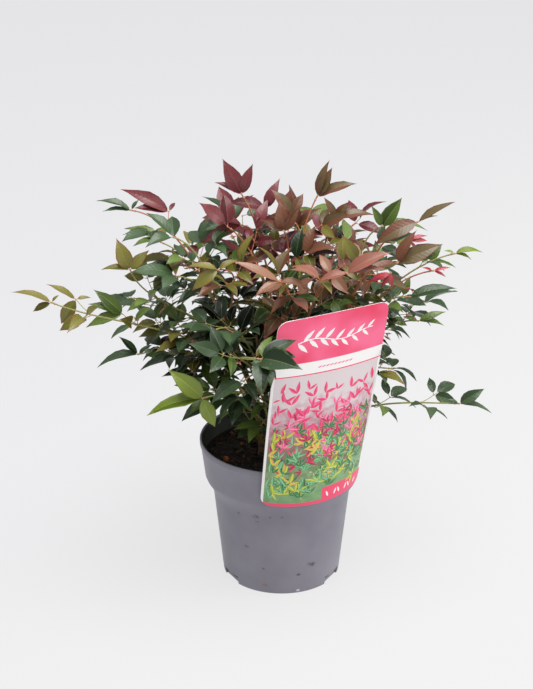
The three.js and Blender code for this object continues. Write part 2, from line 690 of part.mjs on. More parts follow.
const grown = [...card, ...canes.flatMap((cane) => cane.blocks)];
sprays.forEach((spray, index) => {
  const stems = sprays.filter((other) => other !== spray).flatMap((other) => other.stem.blocks);
  grown.push(...growLeaves(spray, index, [...grown, ...stems]));
  addNode(`foliage_${spray.name}`, spraySolid(spray), spray.tint);
});

export default plant;
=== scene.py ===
# Heavenly bamboo in a nursery pot with a care card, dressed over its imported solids.
# The growth rule is worked out in millimetres, and every mesh is written in metres.
import logging
import math
from dataclasses import dataclass, field, replace
from enum import Enum
from typing import Iterable, Sequence

import bmesh
import bpy
import numpy as np
from mathutils import Matrix, Vector, noise


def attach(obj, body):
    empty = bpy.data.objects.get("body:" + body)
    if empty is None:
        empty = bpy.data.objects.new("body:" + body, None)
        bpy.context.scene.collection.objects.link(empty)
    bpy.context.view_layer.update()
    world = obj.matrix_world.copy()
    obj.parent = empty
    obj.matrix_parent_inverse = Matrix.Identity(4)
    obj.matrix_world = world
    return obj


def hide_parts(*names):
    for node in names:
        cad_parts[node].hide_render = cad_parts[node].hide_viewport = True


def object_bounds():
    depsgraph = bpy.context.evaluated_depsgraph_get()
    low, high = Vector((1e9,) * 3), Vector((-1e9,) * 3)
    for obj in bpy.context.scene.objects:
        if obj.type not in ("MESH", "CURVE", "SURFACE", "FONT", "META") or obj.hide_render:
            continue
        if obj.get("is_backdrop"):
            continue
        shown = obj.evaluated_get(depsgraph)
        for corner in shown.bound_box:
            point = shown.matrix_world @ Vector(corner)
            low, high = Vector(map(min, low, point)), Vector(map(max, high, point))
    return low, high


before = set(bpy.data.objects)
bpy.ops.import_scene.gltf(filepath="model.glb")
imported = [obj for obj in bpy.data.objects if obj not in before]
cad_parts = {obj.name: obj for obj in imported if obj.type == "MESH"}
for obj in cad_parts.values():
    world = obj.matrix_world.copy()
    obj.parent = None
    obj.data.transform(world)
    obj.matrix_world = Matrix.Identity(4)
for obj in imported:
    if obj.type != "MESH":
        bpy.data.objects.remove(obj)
CAD_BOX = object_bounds()

LOG = logging.getLogger("heavenly_bamboo")
Array = np.ndarray
Faces = list[tuple[int, ...]]
Span = tuple[float, float]
Place = tuple[float, float, float]

MM = 0.001
BODY = "root"
UP = np.array([0.0, 0.0, 1.0])
EAST = np.array([1.0, 0.0, 0.0])
CLEAR = 0.3  # the gap in millimetres that the solids keep from each other
ROOM_SLACK = 0.05
PARALLEL = 1e-6
STEEP = 0.9
NUDGE = 1e-3  # keeps a direction from vanishing where two others agree
TINY = 1e-9  # the same where even that would show
MERGE = 1e-6
GOLDEN_SHARE = (math.sqrt(5) - 1) / 2
GOLDEN_ANGLE = 137.5


# ---- Vectors and chance ---------------------------------------------------
def unit(direction: Array) -> Array:
    """Returns the direction at a length of one."""
    return direction / np.linalg.norm(direction)


def square_to(direction: Array, line: Array) -> Array:
    """Returns the unit direction square to a line that comes nearest to a direction."""
    return unit(direction - line * np.dot(direction, line))


def crossing(line: Array) -> Array:
    """Returns a direction across a line, level unless the line is steep."""
    return np.cross(line, UP if abs(line[2]) < STEEP else EAST)


def leftwards(away: Array) -> Array:
    """Returns the level direction to the left of another."""
    return np.array([-away[1], away[0], 0.0])


def polar(azimuth: float, reach: float, height: float) -> Array:
    """Places a point by its direction in degrees, its reach and its height."""
    angle = math.radians(azimuth)
    return np.array([reach * math.cos(angle), reach * math.sin(angle), height])


def heading(azimuth: float, pitch: float) -> Array:
    """Returns the unit direction with this azimuth and pitch, in degrees."""
    tilt = math.radians(pitch)
    return polar(azimuth, math.cos(tilt), math.sin(tilt))


def turned(direction: Array, axis: Array, degrees: float) -> Array:
    """Turns a direction about a unit axis.

    Args:
        direction: What is turned.
        axis: Unit axis of the turn.
        degrees: Angle by the right-hand rule.

    Returns:
        The turned direction.
    """
    cosine, sine = math.cos(math.radians(degrees)), math.sin(math.radians(degrees))
    across = np.cross(axis, direction)
    return direction * cosine + across * sine + axis * np.dot(axis, direction) * (1 - cosine)


def mix(low: float | Array, high: float | Array, share: float | Array) -> float | Array:
    """Returns the value or point that lies this share of the way from low to high."""
    return low + (high - low) * share


def clamp(value: float, low: float, high: float) -> float:
    """Returns the value, held between low and high."""
    return max(low, min(high, value))


class Lehmer:
    """Repeatable numbers between 0 and 1, by the rule that grew the solids."""

    MODULUS = 2147483647
    FACTOR = 48271
    SEED_FACTOR = 7919
    SEED_SHIFT = 104729

    def __init__(self, seed: int) -> None:
        """Starts the row of numbers that belongs to the seed."""
        self.state = (seed * self.SEED_FACTOR + self.SEED_SHIFT) % self.MODULUS

    def __call__(self) -> float:
        """Returns the next number."""
        self.state = self.state * self.FACTOR % self.MODULUS
        return self.state / self.MODULUS

    def swing(self, width: float) -> float:
        """Returns a number within half the width to either side of zero."""
        return width * (self() - 0.5)

    def between(self, low: float, high: float) -> float:
        """Returns a number between low and high."""
        return mix(low, high, self())


class Bezier:
    """A cubic curve that is read by its length."""

    SAMPLES = 200

    def __init__(self, *points: Array) -> None:
        """Measures the curve.

        Args:
            *points: Its four points.
        """
        self.points = points
        self.times = np.linspace(0.0, 1.0, self.SAMPLES + 1)
        steps = np.linalg.norm(np.diff(self.raw(self.times), axis=0), axis=1)
        self.lengths = np.concatenate([[0.0], np.cumsum(steps)])

    @property
    def length(self) -> float:
        """The curve's length."""
        return float(self.lengths[-1])

    def raw(self, times: Array) -> Array:
        """Works out points at the curve's own parameter.

        Args:
            times: Parameters from 0 to 1.

        Returns:
            The points.
        """
        t = np.asarray(times)[..., None]
        a, b, c, d = self.points
        return (1 - t) ** 3 * a + 3 * (1 - t) ** 2 * t * b + 3 * (1 - t) * t * t * c + t**3 * d

    def at(self, shares: Array | float) -> Array:
        """Returns the curve's points at shares of its length."""
        return self.raw(np.interp(np.asarray(shares) * self.length, self.lengths, self.times))


# ---- Sizes that the solids were made from, in millimetres -----------------
class Tint(Enum):
    """Leaf colours, by the material slot that they belong to."""

    DARK = "leaf_dark"
    GREEN = "leaf_green"
    LIME = "leaf_lime"
    OLIVE = "leaf_olive"
    BRONZE = "leaf_bronze"
    BURGUNDY = "leaf_burgundy"
    SALMON = "leaf_salmon"
    SCARLET = "leaf_scarlet"


DARK, GREEN, LIME, OLIVE, BRONZE, BURGUNDY, SALMON, SCARLET = Tint


@dataclass(frozen=True)
class PotSizes:
    """Radii and heights of the pot, and the room that leaves keep from it."""

    height: float = 153
    rim: float = 85
    collar_foot: float = 79.8
    collar_z: float = 113
    body: float = 70.9
    body_z: float = 93
    foot: float = 61.4
    chamfer: float = 1.5
    wall: float = 1.8
    floor: float = 2.5
    shoulder_out: float = 1.5
    shoulder_up: float = 7
    shoulder_in: float = 1.6
    shoulder_down: float = 4
    notches: int = 3
    first_notch: float = 90
    notch_width: float = 27
    notch_height: float = 9
    notch_depth: float = 4
    soil_top: float = 133
    room_inside: float = 1
    room_outside: float = 1.5
    room_above: float = 1
    room_soil: float = 1.5
    room_samples: int = 4


@dataclass(frozen=True)
class CaneRow:
    """One cane of the clump: where it leans and how far and high its tip is."""

    name: str
    azimuth: float
    reach: float
    top: float
    ring: float = 21


@dataclass(frozen=True)
class SprayRow:
    """One compound leaf, by the place of its end joint and its last stretch."""

    name: str
    azimuth: float
    reach: float
    height: float
    pitch: float
    aim: float
    pairs: int
    leaf: float
    tint: Tint
    face: float | None = None

    @property
    def end(self) -> Array:
        """The place of the end joint."""
        return polar(self.azimuth, self.reach, self.height)


@dataclass(frozen=True)
class TierRow:
    """Sprays spread evenly between two directions on the far side."""

    name: str
    count: int
    start: float
    stop: float
    reach: float
    height: float
    pitch: float
    pairs: int
    tint: Tint


POT = PotSizes()

CANES = (
    CaneRow("cane_centre", 270, 8, 338, ring=2),
    CaneRow("cane_left", 190, 62, 305),
    CaneRow("cane_front_left", 240, 52, 285),
    CaneRow("cane_front_right", 300, 46, 300),
    CaneRow("cane_right", 350, 64, 305),
    CaneRow("cane_back_right", 50, 58, 310),
    CaneRow("cane_back_left", 130, 60, 312),
)

# Azimuth, reach and height of the end joint, pitch and aim of the last stretch,
# lower joints, leaflet length, tint and where the blades face.
SPRAYS = tuple(SprayRow(*row) for row in (
    ("far_left", 195, 232, 326, 22, 176, 3, 40, GREEN),
    ("left_fork", 191, 152, 348, 72, 185, 1, 33, GREEN),
    ("left_low", 188, 146, 254, -16, 182, 2, 38, DARK),
    ("upper_left_red", 176, 150, 396, 8, 182, 2, 42, BURGUNDY),
    ("upper_left_green", 190, 108, 378, 12, 190, 1, 40, DARK),
    ("left_mid", 200, 112, 345, 5, 195, 2, 40, DARK),
    ("left_fan", 203, 104, 262, -25, 200, 2, 40, DARK),
    ("lime_trio", 232, 126, 242, -12, 192, 1, 50, LIME),
    ("low_left", 205, 78, 205, -35, 205, 1, 36, DARK),
    ("low_front", 252, 68, 196, -40, 235, 1, 34, GREEN),
    ("front_left", 236, 118, 312, -8, 225, 2, 42, DARK),
    ("front_grey", 262, 150, 305, -2, 350, 1, 44, DARK),
    ("front_centre", 250, 110, 262, -20, 240, 2, 40, DARK),
    ("low_centre", 240, 90, 230, -28, 225, 1, 38, DARK),
    ("left_lower", 190, 86, 226, -22, 190, 2, 38, DARK),
    ("amber", 233, 102, 368, 6, 215, 1, 40, OLIVE),
    ("front_salmon", 268, 96, 362, 4, 265, 2, 42, SALMON),
    ("top_red", 180, 40, 416, 57, 182, 2, 35, BURGUNDY, 275),
    ("crown_red", 207, 60, 392, 38, 200, 1, 38, BURGUNDY, 270),
    ("top_green", 155, 55, 380, 40, 165, 1, 38, DARK, 260),
    ("top_bronze", 40, 20, 378, 75, 200, 1, 38, BRONZE, 270),
    ("top_round", 274, 24, 386, 45, 250, 1, 40, BRONZE, 270),
    ("top_right", 0, 34, 414, 60, 20, 2, 36, BRONZE, 275),
    ("top_right_low", 25, 60, 382, 45, 10, 1, 36, BRONZE, 280),
    ("back_right_red", 32, 88, 370, 35, 10, 1, 36, BURGUNDY, 290),
    ("right_green", 354, 98, 386, 22, 345, 1, 38, DARK, 280),
    ("far_bronze", 347, 134, 398, 16, 352, 2, 40, BRONZE),
    ("right_olive", 324, 134, 374, 8, 335, 2, 40, SALMON),
    ("right_tip", 2, 172, 352, 14, 355, 2, 36, GREEN),
    ("young_red", 350, 150, 346, 12, 350, 2, 24, SCARLET),
    ("front_salmon_right", 299, 122, 374, 2, 310, 2, 42, SALMON),
    ("right_dark", 349, 128, 318, -4, 352, 2, 40, DARK),
    ("right_pale", 2, 138, 280, -6, 358, 2, 36, GREEN),
    ("right_fan", 352, 112, 236, -22, 348, 2, 36, DARK),
    ("right_long", 349, 182, 206, 3, 356, 3, 36, DARK),
))

TIERS = (
    TierRow("back_top", 2, 85, 130, 76, 356, 32, 1, BURGUNDY),
    TierRow("back_upper", 4, 38, 148, 148, 326, 10, 2, GREEN),
    TierRow("back_middle", 4, 26, 160, 166, 272, -4, 2, DARK),
    TierRow("back_low", 4, 35, 165, 112, 216, -22, 2, DARK),
)
TIER_LEAF = 40
TIER_STEP = 12


def tier_rows() -> list[SprayRow]:
    """Works out the sprays of the far side.

    Returns:
        One row for each spray, in the order of growth.
    """
    rows = []
    for tier in TIERS:
        for i in range(tier.count):
            azimuth = mix(tier.start, tier.stop, i / (tier.count - 1))
            rows.append(SprayRow(f"{tier.name}_{i + 1}", azimuth, tier.reach,
                                 tier.height + TIER_STEP * (i % 2), tier.pitch, azimuth,
                                 tier.pairs, TIER_LEAF, tier.tint))
    return rows


# ---- Room between pieces --------------------------------------------------
class Block:
    """A convex block of room, with its corners, edge and face directions."""

    def __init__(self, corners: Array, edges: Array, faces: Array) -> None:
        """Takes the block's shape.

        Args:
            corners: Its corners.
            edges: Unit directions of its edges.
            faces: Unit directions that its faces face.
        """
        self.corners = corners
        self.edges = edges
        self.faces = faces
        self.centre = corners.mean(axis=0)
        self.radius = float(np.linalg.norm(corners - self.centre, axis=1).max())

    def apart(self, other: "Block", gap: float) -> bool:
        """Tells whether some direction shows more than the gap to another block.

        Args:
            other: The other block.
            gap: The wanted gap, in millimetres.

        Returns:
            True where the blocks are farther apart than the gap.
        """
        if np.linalg.norm(self.centre - other.centre) > self.radius + other.radius + gap:
            return True
        crosses = np.cross(self.edges[:, None], other.edges[None]).reshape(-1, 3)
        lengths = np.linalg.norm(crosses, axis=1)
        sound = lengths**2 > PARALLEL
        axes = np.vstack([self.faces, other.faces, crosses[sound] / lengths[sound, None]])
        mine, theirs = self.corners @ axes.T, other.corners @ axes.T
        gaps = np.maximum(theirs.min(axis=0) - mine.max(axis=0),
                          mine.min(axis=0) - theirs.max(axis=0))
        return bool((gaps > gap).any())


def stretch_blocks(path: Array, radii: Sequence[float]) -> list[Block]:
    """Makes one block for each straight stretch of a limb.

    Args:
        path: Points along the limb.
        radii: The limb's radius at each point.

    Returns:
        The blocks, a little wider than the limb.
    """
    blocks = []
    for a, b, near, far in zip(path[:-1], path[1:], radii[:-1], radii[1:]):
        line = unit(b - a)
        side = unit(crossing(line))
        rise = np.cross(side, line)
        corners = [end + side * s * radius + rise * t * radius
                   for end, radius in ((a, near), (b, far)) for s in (-1, 1) for t in (-1, 1)]
        axes = np.array([line, side, rise])
        blocks.append(Block(np.array(corners), axes, axes))
    return blocks


def meets_pot(corners: Array) -> bool:
    """Tells whether a block's corners or diagonals enter the pot or its soil.

    Args:
        corners: The block's corners.

    Returns:
        True where the block isn't clear of the pot.
    """
    shares = np.arange(POT.room_samples) / POT.room_samples
    ends = np.roll(corners, -3, axis=0)
    points = mix(corners[:, None], ends[:, None], shares[None, :, None]).reshape(-1, 3)
    reach = np.hypot(points[:, 0], points[:, 1])
    height = points[:, 2]
    over_soil = ((reach < POT.collar_foot - POT.room_inside)
                 & (height > POT.soil_top + POT.room_soil))
    low = (height < POT.height + POT.room_above) & (reach < POT.rim + POT.room_outside)
    return bool((low & ~over_soil).any())


class Room:
    """The room that is taken already."""

    def __init__(self, blocks: Iterable[Block]) -> None:
        """Takes the first room.

        Args:
            blocks: The blocks that stand in it.
        """
        self.blocks = list(blocks)
        self.centres = np.array([block.centre for block in self.blocks])
        self.radii = np.array([block.radius for block in self.blocks])

    def add(self, block: Block) -> None:
        """Takes more room.

        Args:
            block: What stands in it.
        """
        self.blocks.append(block)
        self.centres = np.vstack([self.centres, block.centre])
        self.radii = np.append(self.radii, block.radius)

    def is_free(self, piece: Block) -> bool:
        """Tells whether a piece keeps its gap from the pot and all that is taken.

        Args:
            piece: The block to be placed.

        Returns:
            True where it fits.
        """
        if meets_pot(piece.corners):
            return False
        gap = CLEAR + ROOM_SLACK
        far = np.linalg.norm(self.centres - piece.centre, axis=1) > self.radii + piece.radius + gap
        return all(piece.apart(self.blocks[i], gap) for i in np.flatnonzero(~far))


# ---- The care card's surface ----------------------------------------------
@dataclass(frozen=True)
class CardSurface:
    """A card that leans out from the rim, bent at its foot and flat at its top."""

    azimuth: float = -64
    width: float = 119
    height: float = 221
    thick: float = 0.8
    corner: float = 10
    columns: int = 8
    rows: int = 4
    foot_bend: float = 86
    top_bend: float = 2500
    foot: float = 113.7
    rim_reach: float = 87.2
    lean: float = 8
    roll: float = 1.1

    def point(self, u: Array | float, v: Array | float, out: Array | float) -> Array:
        """Finds points of the card.

        Args:
            u: Place across, from -1 to 1.
            v: Place up the card, from 0 to 1.
            out: Distance in front of the card's middle, in millimetres.

        Returns:
            The points, one row for each.
        """
        u, v, out = (np.asarray(value, float)[..., None] for value in (u, v, out))
        rise = heading(self.azimuth, 90 - self.lean)
        facing = heading(self.azimuth, -self.lean)
        across = turned(leftwards(heading(self.azimuth, 0)), facing, self.roll)
        back = np.cross(rise, across)
        reach = self.rim_reach - (POT.height - self.foot) * math.tan(math.radians(self.lean))
        middle = polar(self.azimuth, reach, self.foot) + rise * v * self.height
        bend = 1 / mix(1 / self.foot_bend, 1 / self.top_bend, v)
        angle = u * self.width / 2 / bend
        radius = bend + out
        return middle + across * radius * np.sin(angle) + back * (bend - radius * np.cos(angle))

    def trim(self, u: float) -> float:
        """Works out what the rounded corners take off.

        Args:
            u: Place across, from -1 to 1.

        Returns:
            The share of the height that is missing there.
        """
        half = self.width / 2
        past = max(0.0, abs(u) * half - (half - self.corner)) / self.corner
        return self.corner * (1 - math.sqrt(1 - past * past)) / self.height

    def blocks(self) -> list[Block]:
        """Works out the card's room.

        Returns:
            One block for each of its columns and rows.
        """
        blocks = []
        half = self.thick / 2
        for column in range(self.columns):
            for row in range(self.rows):
                us = [(column + i) / self.columns * 2 - 1 for i in (0, 1)]
                vs = [(row + i) / self.rows for i in (0, 1)]
                corners = np.array([self.point(u, v, out)
                                    for u in us for v in vs for out in (half, -half)])
                across, rise = unit(corners[4] - corners[0]), unit(corners[2] - corners[0])
                axes = np.array([across, rise, unit(np.cross(across, rise))])
                blocks.append(Block(corners, axes, axes))
        return blocks


# ---- Growth ---------------------------------------------------------------
@dataclass(frozen=True)
class CaneSizes:
    """Radii and steps of a cane."""

    foot: float = POT.soil_top + CLEAR
    flare: float = 4.2
    base: float = 2.5
    tip: float = 1.5
    pitch: float = 72
    steps: int = 7

    def radius(self, share: float) -> float:
        """Returns the radius at a share of the cane's length."""
        foot = max(0.0, 1 - share * self.steps)
        return mix(self.base, self.tip, share) + (self.flare - self.base) * foot


@dataclass(frozen=True)
class SpraySizes:
    """Radii, lengths and angles of a compound leaf, and how its stem runs."""

    base: float = 1.7
    tip: float = 1.25
    steps: int = 6
    root: float = 4
    bare: float = 0.25
    joint: float = 36
    joint_growth: float = 0.12
    stalk: float = 0.62
    stalk_length: float = 20
    stalk_spread: float = 58
    stalk_start: float = 0.75
    stalk_growth: float = 0.3
    stalk_least: float = 0.85
    stalk_more: float = 0.3
    stalk_rise: float = 0.12
    stalk_stir: float = 0.25
    turn_stir: float = 14
    leaf_least: float = 0.88
    leaf_more: float = 0.24
    face_stir: float = 40
    face_share: float = 0.45
    face_more: float = 0.25
    up_stir: float = 0.3
    seeds: float = 1e6
    near_size: float = 0.85
    far_size: float = 0.92
    canes: int = 3
    start_height: float = 0.6
    start_reach: float = 0.1
    lowest: float = 0.08
    highest: float = 0.95
    lift: float = 70
    ease: float = 0.16
    flattest: float = 12
    steepest: float = 62
    start_pull: float = 0.38
    end_pull: float = 0.3
    end_bow: float = 0.4


@dataclass(frozen=True)
class BladeSizes:
    """A leaflet's room, as shares of its length, with two sizes in millimetres."""

    widest: float = 0.4
    width: float = 0.4
    thick: float = 0.9
    root: float = 0.8
    fold: float = 0.07
    arch: float = 0.06
    droop: float = 0.08


@dataclass(frozen=True)
class FinerSizes:
    """Where and how large the finer leaves are that the solids leave out."""

    seed: int = 500
    core: Place = (-4, 0, 284)
    core_reach: Place = (130, 146, 108)
    root_clear: float = 0.14
    stalk_share: Span = (0.42, 0.62)
    stalk_turn: Span = (48, 66)
    stalk_leaf: Span = (0.62, 0.8)
    stem_step: float = 32
    stem_stir: Span = (0.85, 1.15)
    stem_reach: float = 0.86
    stem_look: float = 0.02
    stem_turn: Span = (38, 74)
    stem_rise: Span = (-0.4, 0.4)
    stem_stalk: Span = (10, 28)
    stem_leaf: Span = (0.75, 1.0)
    sprout_chance: float = 0.22
    sprout_turn: float = 200
    sprout_pitch: Span = (-50, 60)
    sprout_length: Span = (5, 11)
    cane_start: float = 16
    cane_step: float = 8
    cane_leaf: float = 38
    cane_size: Span = (0.85, 1.1)
    cane_dark: float = 0.7
    cane_stir: float = 30
    cane_pitch: Span = (-10, 48)
    cane_stalk: Span = (18, 42)

    def depth(self, place: Array) -> float:
        """Returns how deep a place is in the dense core: 0 at its skin, 1 in its middle."""
        return 1 - float(np.linalg.norm((place - self.core) / np.array(self.core_reach)))


CANE = CaneSizes()
SPRAY = SpraySizes()
BLADE = BladeSizes()
FINER = FinerSizes()
LEAFLETS = ((-60, 0.82), (0, 1), (60, 0.82))  # turn from the sprig's line, share of its length
STARTS = (0, 0.06, -0.06, 0.12, -0.12, 0.18, -0.18, 0.24, -0.24, 0.32, -0.32)
BOWS = (0, 14, -14, 28, -28, 44, -44)
TURNS = ((0, 0, 1), (14, 0, 1), (-14, 0, 1), (0, 16, 1), (0, -16, 1),
         (26, 8, 0.85), (-26, 8, 0.85))  # yaw, lift and share of the length


@dataclass
class Leaflet:
    """One leaflet: where it is rooted, which way it runs and which way it faces."""

    root: Array
    line: Array
    up: Array
    length: float
    tint: Tint
    sprig: int = -1
    width: float = 1.0
    blade: "Leaflet | None" = None


@dataclass(frozen=True)
class Habit:
    """How a leaflet settles within its room: its short stalk, tilt and roll."""

    blade: Span = (0.82, 0.97)
    young_blade: Span = (0.34, 0.5)
    young_gap: float = 0.1
    level: Span = (0.4, 1.0)
    roll: float = 46
    calm_level: Span = (0.5, 0.95)
    calm_roll: float = 34
    calm_face: Span = (268, 28)
    pitch: float = 16
    rise: float = 0.2

    def settle(self, leaf: Leaflet, calm: bool, random: Lehmer) -> Leaflet:
        """Settles a leaflet: a short stalk, then a blade that turns to the light and rolls.

        Args:
            leaf: The leaflet, as long as its room.
            calm: Whether it turns to the front and rolls less, as at the crown's rim.
            random: Source of chance.

        Returns:
            The blade, which ends near the same tip.
        """
        young = leaf.tint is SCARLET
        share = random.between(*(self.young_blade if young else self.blade))
        gap = self.young_gap if young else 1 - share
        side = unit(np.cross(leaf.up, leaf.line))
        line = turned(leaf.line, side, random.swing(self.pitch))
        light = heading(*self.calm_face) if calm else UP
        light = unit(light - line * np.dot(light, line) + leaf.up * NUDGE)
        flat = random.between(*(self.calm_level if calm else self.level))
        up = unit(leaf.up * (1 - flat) + light * flat)
        roll = random.swing(self.calm_roll if calm else self.roll)
        root = leaf.root + (leaf.line + leaf.up * self.rise) * leaf.length * gap
        return Leaflet(root, line, turned(square_to(up, line), line, roll), leaf.length * share,
                       leaf.tint)


@dataclass
class Stalk:
    """A thin stalk between two points, and the way that its leaflets face."""

    start: Array
    end: Array
    up: Array
    tint: Tint


@dataclass
class Cane:
    """A grown cane."""

    row: CaneRow
    curve: Bezier
    blocks: list[Block]


@dataclass
class Spray:
    """A growing compound leaf."""

    row: SprayRow
    curve: Bezier
    blocks: list[Block]
    sprigs: list[Stalk] = field(default_factory=list)
    sprouts: list[Stalk] = field(default_factory=list)
    leaflets: list[Leaflet] = field(default_factory=list)
    blades: list[Block] = field(default_factory=list)
    room: list[Block] = field(default_factory=list)

    @property
    def face(self) -> float:
        """The direction that the blades face."""
        return self.row.azimuth if self.row.face is None else self.row.face


def grow_cane(row: CaneRow) -> Cane:
    """Grows one cane from the soil to its tip.

    Args:
        row: The cane's place.

    Returns:
        The cane.
    """
    foot = polar(row.azimuth, row.ring, CANE.foot)
    tip = polar(row.azimuth, row.reach, row.top)
    third = (row.top - CANE.foot) / 3
    curve = Bezier(foot, foot + UP * third, tip - heading(row.azimuth, CANE.pitch) * third, tip)
    shares = np.arange(CANE.steps + 1) / CANE.steps
    return Cane(row, curve, stretch_blocks(curve.at(shares), [CANE.radius(s) for s in shares]))


def blade_block(root: Array, line: Array, up: Array, length: float) -> Block:
    """Works out the room of a leaflet.

    Args:
        root: Where it is rooted.
        line: Unit direction from root to tip.
        up: Direction that its upper side faces.
        length: Its length.

    Returns:
        A block with seven corners, of which the first two are the root's.
    """
    side = unit(np.cross(up, line))
    normal = np.cross(line, side)
    half, rim = BLADE.width / 2, BLADE.arch + BLADE.fold
    thick, foot = BLADE.thick / 2 / length, BLADE.root / 2 / length
    places = np.array([
        (0, 0, foot), (0, 0, -foot), (BLADE.widest, half, rim), (BLADE.widest, -half, rim),
        (BLADE.widest, 0, BLADE.arch + thick), (BLADE.widest, 0, BLADE.arch - thick),
        (1, 0, -BLADE.droop),
    ])
    corners = root + places @ np.array([line, side, normal]) * length
    ends = ((0, 2), (0, 3), (2, 6), (3, 6), (2, 3))
    edges = np.array([unit(corners[j] - corners[i]) for i, j in ends])
    halves = [unit(np.cross(edges[i], edges[j])) for i, j in ((0, 2), (1, 3))]
    return Block(corners, edges, np.array([normal, side, *halves]))


@dataclass
class Grower:
    """Grows the leaves of one spray, as the solids have them or finer ones."""

    spray: Spray
    room: Room
    random: Lehmer
    tint: Tint
    finer: bool = False

    @staticmethod
    def joint_on(curve: Bezier, length: float) -> tuple[Array, Array] | None:
        """Finds the place a given length back from a stem's end joint.

        Args:
            curve: The stem.
            length: Distance back along it.

        Returns:
            The place on the stem's straight stretches and the direction there,
            or None where the stem is too short.
        """
        share = (1 - length / curve.length) * SPRAY.steps
        if share < SPRAY.steps * SPRAY.bare:
            return None
        step = math.floor(share)
        a, b = curve.at(step / SPRAY.steps), curve.at((step + 1) / SPRAY.steps)
        return mix(a, b, share - step), unit(b - a)

    def blade_up(self, line: Array) -> Array:
        """Turns a sprig's blades mostly skywards, leaning to where they face.

        Args:
            line: The sprig's direction.

        Returns:
            The unit direction that the upper sides face.
        """
        lean = heading(self.spray.face + self.random.swing(SPRAY.face_stir), 0)
        share = SPRAY.face_share + SPRAY.face_more * self.random()
        stir = np.array([self.random() - 0.5, self.random() - 0.5, 0.0]) * SPRAY.up_stir
        return square_to(UP + lean * share + stir, line)

    def take(self, block: Block) -> None:
        """Takes room, which counts at once for finer growth, else for later sprays."""
        keep = self.room.add if self.finer else self.spray.room.append
        keep(block)

    def fit(self, root: Array, line: Array, up: Array, length: float) -> bool:
        """Takes a leaflet's room where it is free.

        A finer leaflet may touch its twig with its very root, and one of the
        solids' may share its root with others of its spray.

        Args:
            root: Where it is rooted.
            line: Its direction.
            up: The direction that it faces.
            length: Its length.

        Returns:
            True where it fits.
        """
        clear = FINER.root_clear if self.finer else 0
        leaf = blade_block(root + line * length * clear, line, up, length * (1 - clear))
        if self.finer:
            fits = FINER.depth(root + line * length) > 0 and self.room.is_free(leaf)
        else:
            blade = Block(leaf.corners[2:], leaf.edges, leaf.faces)
            others = self.spray.blades
            fits = self.room.is_free(leaf) and all(blade.apart(other, 0) for other in others)
            if fits:
                others.append(blade)
        if fits:
            self.take(leaf)
        return fits

    def leaf(self, root: Array, line: Array, up: Array, length: float) -> bool:
        """Places a leaflet in the first free way.

        Args:
            root: Where it is rooted.
            line: The wanted direction.
            up: The direction that it faces.
            length: The wanted length.

        Returns:
            True where it found room.
        """
        side = unit(np.cross(up, line))
        sprig = -1 if self.finer else len(self.spray.sprigs)
        for yaw, lift, scale in TURNS:
            out = turned(turned(line, up, yaw), side, -lift)
            if self.fit(root, out, up, length * scale):
                made = Leaflet(root, out, up, length * scale, self.tint, sprig)
                self.spray.leaflets.append(made)
                return True
        return False

    def sprig(self, tail: Array, hub: Array, size: float) -> None:
        """Grows a stalk with up to three leaflets at its end.

        Args:
            tail: Where the stalk starts.
            hub: Where the leaflets meet.
            size: Length of the middle leaflet.
        """
        start = mix(tail, hub, FINER.root_clear * 2) if self.finer else tail
        stalk, = stretch_blocks(np.array([start, hub]), [SPRAY.stalk] * 2)
        if self.finer and not self.room.is_free(stalk):
            return
        line = unit(hub - tail)
        up = self.blade_up(line)
        found = 0
        for turn, share in LEAFLETS:
            out = turned(line, up, turn + self.random.swing(SPRAY.turn_stir))
            length = size * share * (SPRAY.leaf_least + SPRAY.leaf_more * self.random())
            found += self.leaf(hub, out, up, length)
        if found:
            self.spray.sprigs.append(Stalk(tail, hub, up, self.tint))
            self.take(stalk)

    def pair(self, at: Array, line: Array, joint: int, size: float) -> None:
        """Grows a pair of side stalks, each ending in a sprig.

        Args:
            at: The joint's place.
            line: The stem's direction there.
            joint: Number of the joint, counted from the end.
            size: Length of the middle leaflets.
        """
        up = self.blade_up(line)
        for hand in (1, -1):
            spread = SPRAY.stalk_spread + self.random.swing(SPRAY.turn_stir)
            rise = SPRAY.stalk_rise + self.random.swing(SPRAY.stalk_stir)
            out = unit(turned(line, up, hand * spread) + UP * rise)
            grown = SPRAY.stalk_length * (SPRAY.stalk_start + SPRAY.stalk_growth * joint)
            hub = at + out * grown * (SPRAY.stalk_least + SPRAY.stalk_more * self.random())
            fresh = Lehmer(math.floor(self.random() * SPRAY.seeds))
            stalk, = stretch_blocks(np.array([at, hub]), [SPRAY.stalk] * 2)
            if self.room.is_free(stalk):
                replace(self, random=fresh).sprig(at, hub, size)

    def grow(self) -> None:
        """Grows the leaves that the solids have."""
        row, curve = self.spray.row, self.spray.curve
        tail, _ = self.joint_on(curve, SPRAY.root)
        self.sprig(tail, row.end, row.leaf)
        for joint in range(1, row.pairs + 1):
            back = SPRAY.joint * (joint + SPRAY.joint_growth * joint * joint)
            place = self.joint_on(curve, back)
            if place:
                size = row.leaf * (SPRAY.far_size if joint > 1 else SPRAY.near_size)
                self.pair(*place, joint, size)

    def leaf_stalk(self, stalk: Stalk) -> None:
        """Puts a pair of smaller leaflets partway along a side stalk.

        Args:
            stalk: The stalk.
        """
        line = unit(stalk.end - stalk.start)
        for hand in (1, -1):
            root = mix(stalk.start, stalk.end, self.random.between(*FINER.stalk_share))
            out = turned(line, stalk.up, hand * self.random.between(*FINER.stalk_turn))
            size = self.spray.row.leaf * self.random.between(*FINER.stalk_leaf)
            self.leaf(root, out, stalk.up, size)

